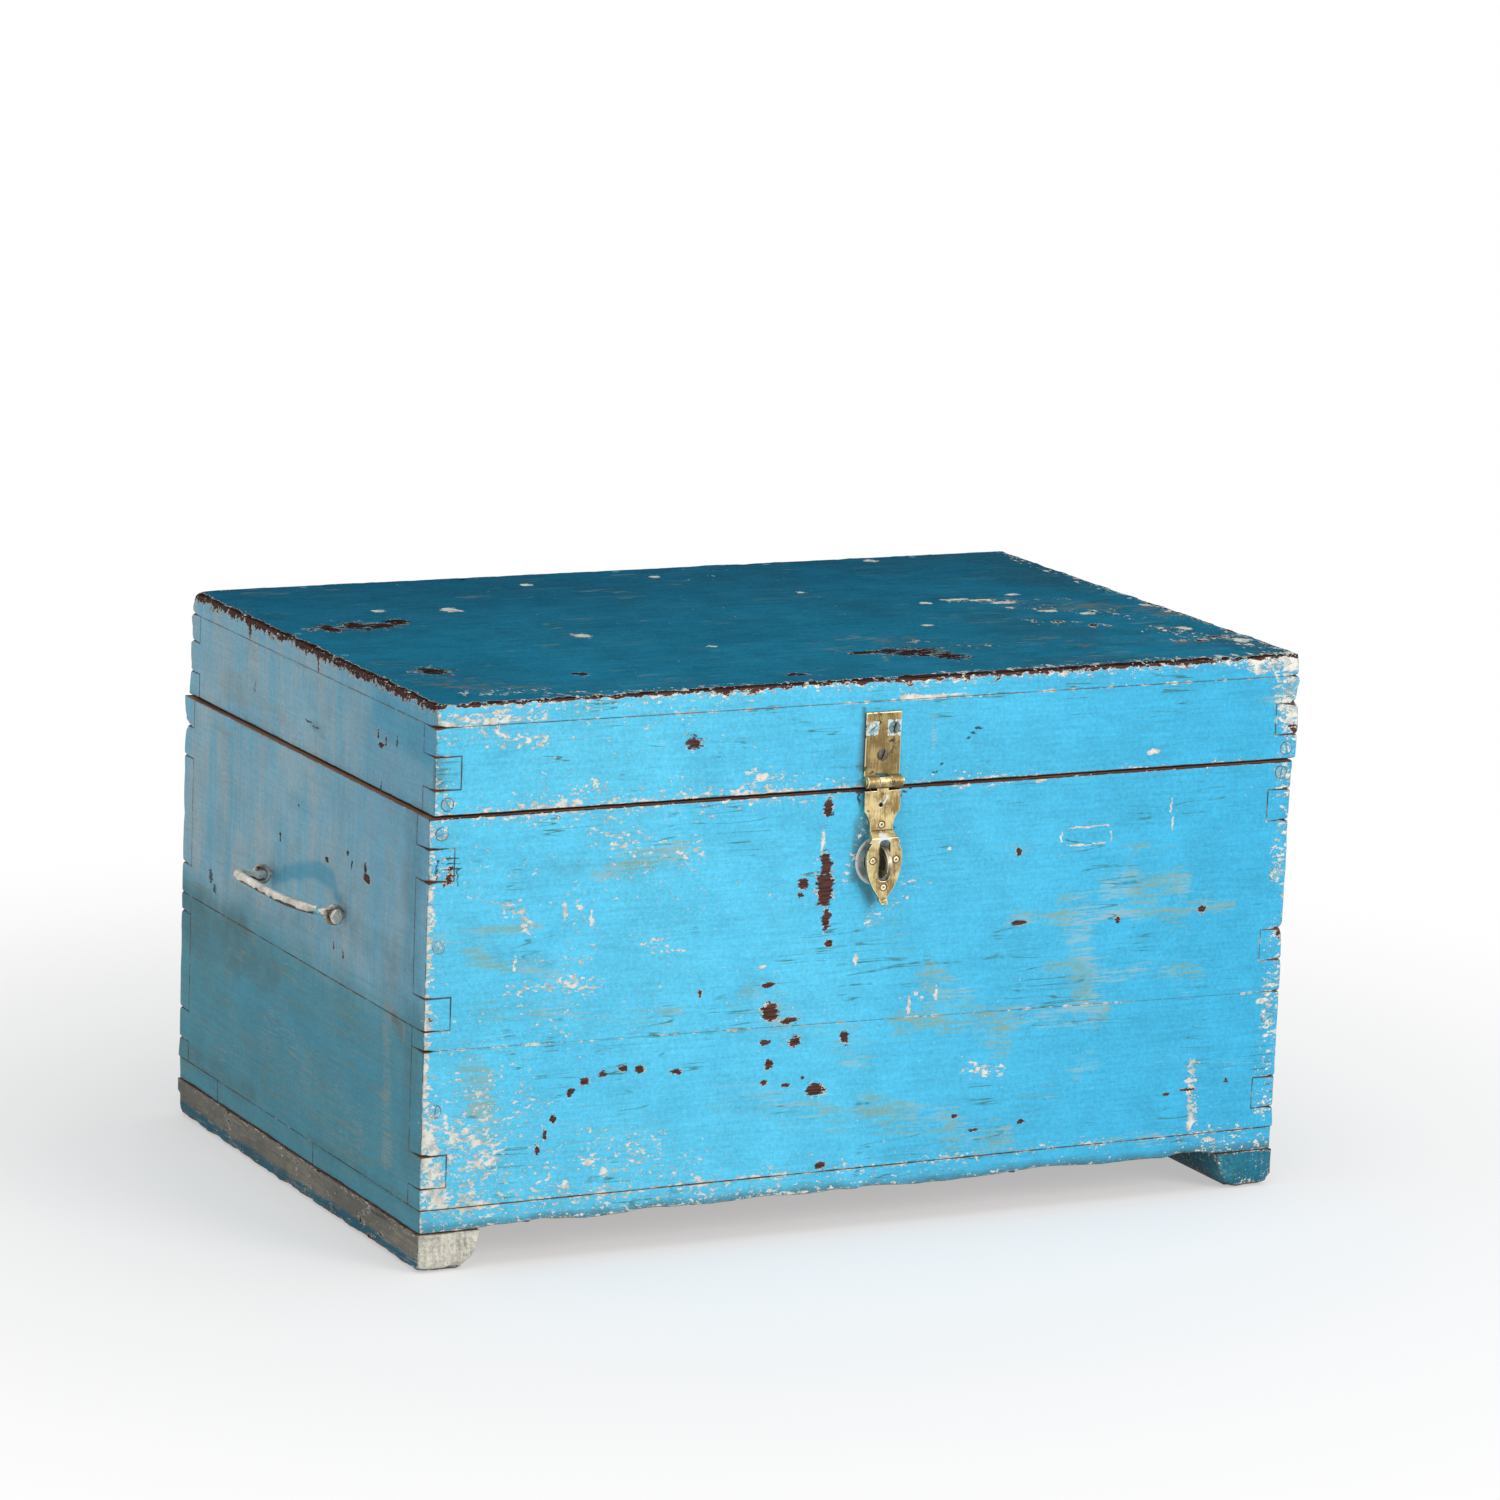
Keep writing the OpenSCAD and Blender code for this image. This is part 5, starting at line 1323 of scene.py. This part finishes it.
TILTS = [math.radians(t) for t in (80, 40, 15, 125, 66, 100, 28, 150)]
SCREW_PAINT = painted("painted_screw_heads", (88, 192, 224), (104, 190, 214), ALONG_X,
                      flake=(300, 300, 300), rubs=((150, 170, 170), PALE_RUB), seam_reach=2.2,
                      cream=(CREAM, (170, 170, 160)), gloss=0.2)
DARK_STEEL = metal("dark_screw_steel", (120, 112, 100), (78, 70, 62), (54, 44, 38), 0.36,
                   shine=(214, 206, 186), crust_amount=0.44, size=120.0)
screw_heads("painted_body_screws", "body_corner_screws", "chest", [SCREW_PAINT], TILTS)
screw_heads("painted_lid_screws", "lid_corner_screws", "lid", [SCREW_PAINT], TILTS[3:])
screw_heads("worn_hasp_screws", "hasp_screws", "lid", [SCREW_PAINT, STEEL, DARK_STEEL],
            [math.radians(t) for t in (38, 66, 74)], (0, 2, 1), proud=0.3, wide=1.14)


# The drop handles

EYES_LOW, EYES_HIGH = box_mm("right_handle_eyes")
EYE_R = 9.0
PIVOT = np.array([EYES_HIGH[0] - EYE_R, (EYES_LOW[1] + EYES_HIGH[1]) / 2,
                  (EYES_LOW[2] + EYES_HIGH[2]) / 2])
LIFT = math.radians(11)
# Places along a handle from its rear end to its front end: out from the pivot, along the trunk's
# end, up, and the bar's half thickness and half height there
BAIL_PATH = (
    (-3.2, 88.0, -2.6, 1.5, 2.4), (-2.0, 85.5, -1.4, 2.8, 4.8), (-0.6, 83.2, -0.4, 3.8, 6.0),
    (0, 81.7, 0, 4.6, 5.6), (0, 81.0, 0, 3.7, 3.7), (0, 78, 0, 3.6, 3.6), (0, 75, 0, 3.7, 3.7),
    (1.6, 70.8, 0, 3.8, 3.8), (6, 68.2, 0, 3.75, 3.75), (14, 67.6, 0, 3.7, 3.9),
    (22.5, 66.2, 0, 3.8, 4.0), (28, 61.5, 0, 3.9, 4.1), (30, 53, 0, 3.75, 4.0),
    (30, 36, 0, 3.75, 3.75), (30, 14, 0, 3.7, 3.8), (29.8, -8, 0, 3.7, 3.7),
    (29, -26, 0, 3.8, 3.8), (26, -42, 0, 3.9, 4.0), (20.5, -55, 0, 3.9, 4.1),
    (13, -64.5, 0, 3.9, 4.0), (5.5, -70.3, 0, 3.8, 3.9), (1.2, -74, 0, 3.7, 3.7),
    (0, -78, 0, 3.6, 3.6), (0, -81.0, 0, 3.7, 3.7), (0, -81.8, 0, 4.8, 6.0),
    (-0.6, -83.6, -0.5, 4.2, 6.4), (-1.8, -86.2, -1.6, 3.2, 5.4), (-3.4, -89.0, -3.4, 1.7, 2.8))
BAIL_SEGMENTS = 24
BAIL_STEPS = 4
# Past this distance from the middle, the bar is the flattened end outside its eye
BAIL_EYE = 81.5


def curve_through(rows, steps):
    """Rows of numbers along a smooth curve through the given rows, steps of them to each."""
    rows = np.array(rows, float)
    padded = np.vstack([2 * rows[0] - rows[1], rows, 2 * rows[-1] - rows[-2]])
    found = []
    for a, b, c, d in zip(padded, padded[1:], padded[2:], padded[3:]):
        for t in np.arange(steps) / steps:
            found.append(0.5 * (2 * b + (c - a) * t + (2 * a - 5 * b + 4 * c - d) * t * t
                                + (3 * b - a - 3 * c + d) * t ** 3))
    found.append(rows[-1])
    return np.array(found)


def bail(name, node, side, body):
    """A forged drop handle, swept along its path with flattened ends past the eyes."""
    rows = curve_through(BAIL_PATH, BAIL_STEPS)
    centre = rows[:, :3]
    tangent = np.gradient(centre, axis=0)
    tangent /= np.linalg.norm(tangent, axis=1)[:, None]
    level = np.cross((0, 0, 1.0), tangent)
    level /= np.linalg.norm(level, axis=1)[:, None]
    upward = np.cross(tangent, level)
    angle = np.arange(BAIL_SEGMENTS) * 2 * math.pi / BAIL_SEGMENTS
    out = np.cos(angle)[None, :, None]
    up = np.sin(angle)[None, :, None]
    dent = 1 + 0.03 * wander(np.repeat(centre, BAIL_SEGMENTS, 0)
                             + np.tile(np.stack([angle * 4, angle * 2, angle], 1), (len(rows), 1)),
                             6, 31).reshape(len(rows), BAIL_SEGMENTS, 1)
    groove = 1 - 0.2 * np.exp(-((angle[None, :, None] - 2.2) / 0.25) ** 2) * \
        (np.abs(centre[:, 1]) > BAIL_EYE)[:, None, None]
    ring = centre[:, None] + dent * groove * (rows[:, 3, None, None] * out * level[:, None]
                                              + rows[:, 4, None, None] * up * upward[:, None])
    points = np.vstack([ring.reshape(-1, 3), centre[:1], centre[-1:]])
    first, last = len(points) - 2, len(points) - 1
    end = first - BAIL_SEGMENTS
    pairs = [(j, (j + 1) % BAIL_SEGMENTS) for j in range(BAIL_SEGMENTS)]
    faces = [(i + j, i + k, i + BAIL_SEGMENTS + k, i + BAIL_SEGMENTS + j)
             for i in range(0, end, BAIL_SEGMENTS) for j, k in pairs]
    for j, k in pairs:
        faces += [(first, k, j), (last, end + j, end + k)]
    below = np.append(np.repeat(-np.sin(angle)[None], len(rows), 0).ravel(), (0, 0))
    ridge = 0.22 + 0.3 * wander(points, 8, 35)
    # Darker underneath: crust, and painted shade on the underside of the bar
    ridge -= 1.3 * np.clip(below + 0.5 * wander(points, 5, 32) - 0.1, 0, 1)
    flat_end = np.clip(np.abs(points[:, 1]) - BAIL_EYE + 1, 0, 1)
    ridge += flat_end * (0.04 + 0.35 * wander(points, 3.2, 34) - ridge)
    paint = 0.5 * np.exp(-((points[:, 1] + 70) / 4) ** 2) + 0.2 * (wander(points, 18, 33) > 0.45)
    out_way = np.array([side * math.cos(LIFT), 0, math.sin(LIFT)])
    up_way = np.array([-side * math.sin(LIFT), 0, math.cos(LIFT)])
    placed = PIVOT * (side, 1, 1) + points[:, :1] * out_way + points[:, 1:2] * (0, 1, 0)
    placed = np.clip(placed + points[:, 2:] * up_way, *box_mm(node))
    piece = add_piece(name, placed, faces, [node], body, [IRON],
                      {"ridge": ridge, "paint": paint})
    face_outwards(piece.data)


for name, side in SIDES:
    bail(f"forged_{name}_bail", f"{name}_bail", side, f"{name}_handle")


def finish_metal(nodes, material, ease):
    """Packed metalwork that keeps its shape, with its edges eased by so many millimetres."""
    for node in nodes:
        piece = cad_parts[node]
        piece.data.materials.clear()
        piece.data.materials.append(material)
        for polygon in piece.data.polygons:
            polygon.use_smooth = False
        bevel = piece.modifiers.new("eased_edges", "BEVEL")
        bevel.width = ease * MM
        bevel.segments = 2
        bevel.limit_method = "ANGLE"
        bevel.angle_limit = math.radians(35)
        bevel.harden_normals = False


finish_metal(["hasp_pin"], BRASS, 0.4)
finish_metal(["lid_nails"], NAIL_PAINT, 0.2)
finish_metal(["left_handle_washers", "right_handle_washers"], STEEL, 0.3)
finish_metal(["runner_screws", "bottom_nails", "hinge_lower_leaves", "hinge_pins",
              "hinge_lower_screws", "hinge_upper_leaves", "hinge_upper_screws"], STEEL, 0.2)


# Camera, from the photograph's own view

# Worked out from the trunk's corners in the photo: degrees, metres, and a focal length in pixels
# of its 1500, on a film 36 mm wide
AZIMUTH, ELEVATION, ROLL = -27.114, 11.562, 2.137
DISTANCE, SHIFT_RIGHT, AIM_HEIGHT = 5.22014, 0.014885, 0.354333
FOCAL, FRAME_W, FILM = 6086.211, 1500, 36


def aim_camera():
    azimuth, elevation, roll = (math.radians(v) for v in (AZIMUTH, ELEVATION, ROLL))
    back = Vector((math.sin(azimuth) * math.cos(elevation),
                   -math.cos(azimuth) * math.cos(elevation), math.sin(elevation)))
    right = Vector((math.cos(azimuth), math.sin(azimuth), 0))
    up = back.cross(right)
    middle_y = (WALLS_LOW[1] + WALLS_HIGH[1]) / 2 * MM
    place_at = back * DISTANCE + right * SHIFT_RIGHT + Vector((0, middle_y, AIM_HEIGHT))
    x_axis = math.cos(roll) * right + math.sin(roll) * up
    y_axis = -math.sin(roll) * right + math.cos(roll) * up
    turn = Matrix((x_axis, y_axis, back)).transposed().to_4x4()
    camera = bpy.data.objects.new("camera", bpy.data.cameras.new("camera"))
    camera.matrix_world = Matrix.Translation(place_at) @ turn
    camera.data.lens = FOCAL / FRAME_W * FILM
    camera.data.sensor_width = FILM
    camera.data.clip_end = 50
    bpy.context.scene.collection.objects.link(camera)
    bpy.context.scene.camera = camera


def seen_directly(web):
    """1 for what the camera sees, straight or mirrored or through glass, and 0 for other light."""
    rays = web.put("ShaderNodeLightPath").outputs
    return web.most(rays["Is Glossy Ray"], rays["Is Transmission Ray"], rays["Is Camera Ray"])


def lay_floor(half=15, z=-0.0002):
    """A pale floor that fades to white away from the trunk."""
    mesh = bpy.data.meshes.new("floor")
    mesh.from_pydata([(-half, -half, z), (half, -half, z), (half, half, z), (-half, half, z)],
                     [], [(0, 1, 2, 3)])
    floor = bpy.data.objects.new("floor", mesh)
    bpy.context.scene.collection.objects.link(floor)
    material, web, shader, out = new_material("pale_floor")
    shader.inputs["Base Color"].default_value = (0.86, 0.86, 0.86, 1)
    shader.inputs["Roughness"].default_value = 0.9
    shader.inputs["Specular IOR Level"].default_value = 0.1
    away = web.vector("LENGTH", place(web), out=1)
    fade = web.times(web.ramp(away, 0.45, 1.3, (0.45, 1.0)), seen_directly(web))
    white = web.put("ShaderNodeEmission", {"Color": (1, 1, 1, 1), "Strength": 1.0})
    both = web.put("ShaderNodeMixShader", {0: fade, 1: shader.outputs[0], 2: white.outputs[0]})
    web.feed(out.inputs["Surface"], both.outputs[0])
    floor.data.materials.append(material)


def light_world():
    """Soft white light from all round, and a white backdrop."""
    world = bpy.data.worlds.new("soft_white")
    world.use_nodes = True
    world.node_tree.nodes.clear()
    web = Web(world.node_tree)
    strength = web.math("MULTIPLY_ADD", seen_directly(web), 0.45, 0.55)
    sky = web.put("ShaderNodeBackground", {"Color": (1, 1, 1, 1), "Strength": strength})
    web.put("ShaderNodeOutputWorld", {"Surface": sky.outputs[0]})
    bpy.context.scene.world = world


def lamp(name, where, aim, size, power):
    """A soft round lamp; its places and size are metres, its power is watts."""
    light = bpy.data.lights.new(name, "AREA")
    light.shape = "DISK"
    light.size = size
    light.energy = power
    piece = bpy.data.objects.new(name, light)
    way = Vector(aim) - Vector(where)
    piece.rotation_euler = way.to_track_quat("-Z", "Y").to_euler()
    piece.location = where
    bpy.context.scene.collection.objects.link(piece)


aim_camera()
lay_floor()
light_world()
lamp("front_light", (1.6, -3.2, 1.9), (0, 0, 0.25), 2.0, 58)
lamp("top_light", (0.0, -0.4, 3.2), (0, 0, 0.3), 2.4, 26)

bpy.context.scene.view_settings.view_transform = "Standard"
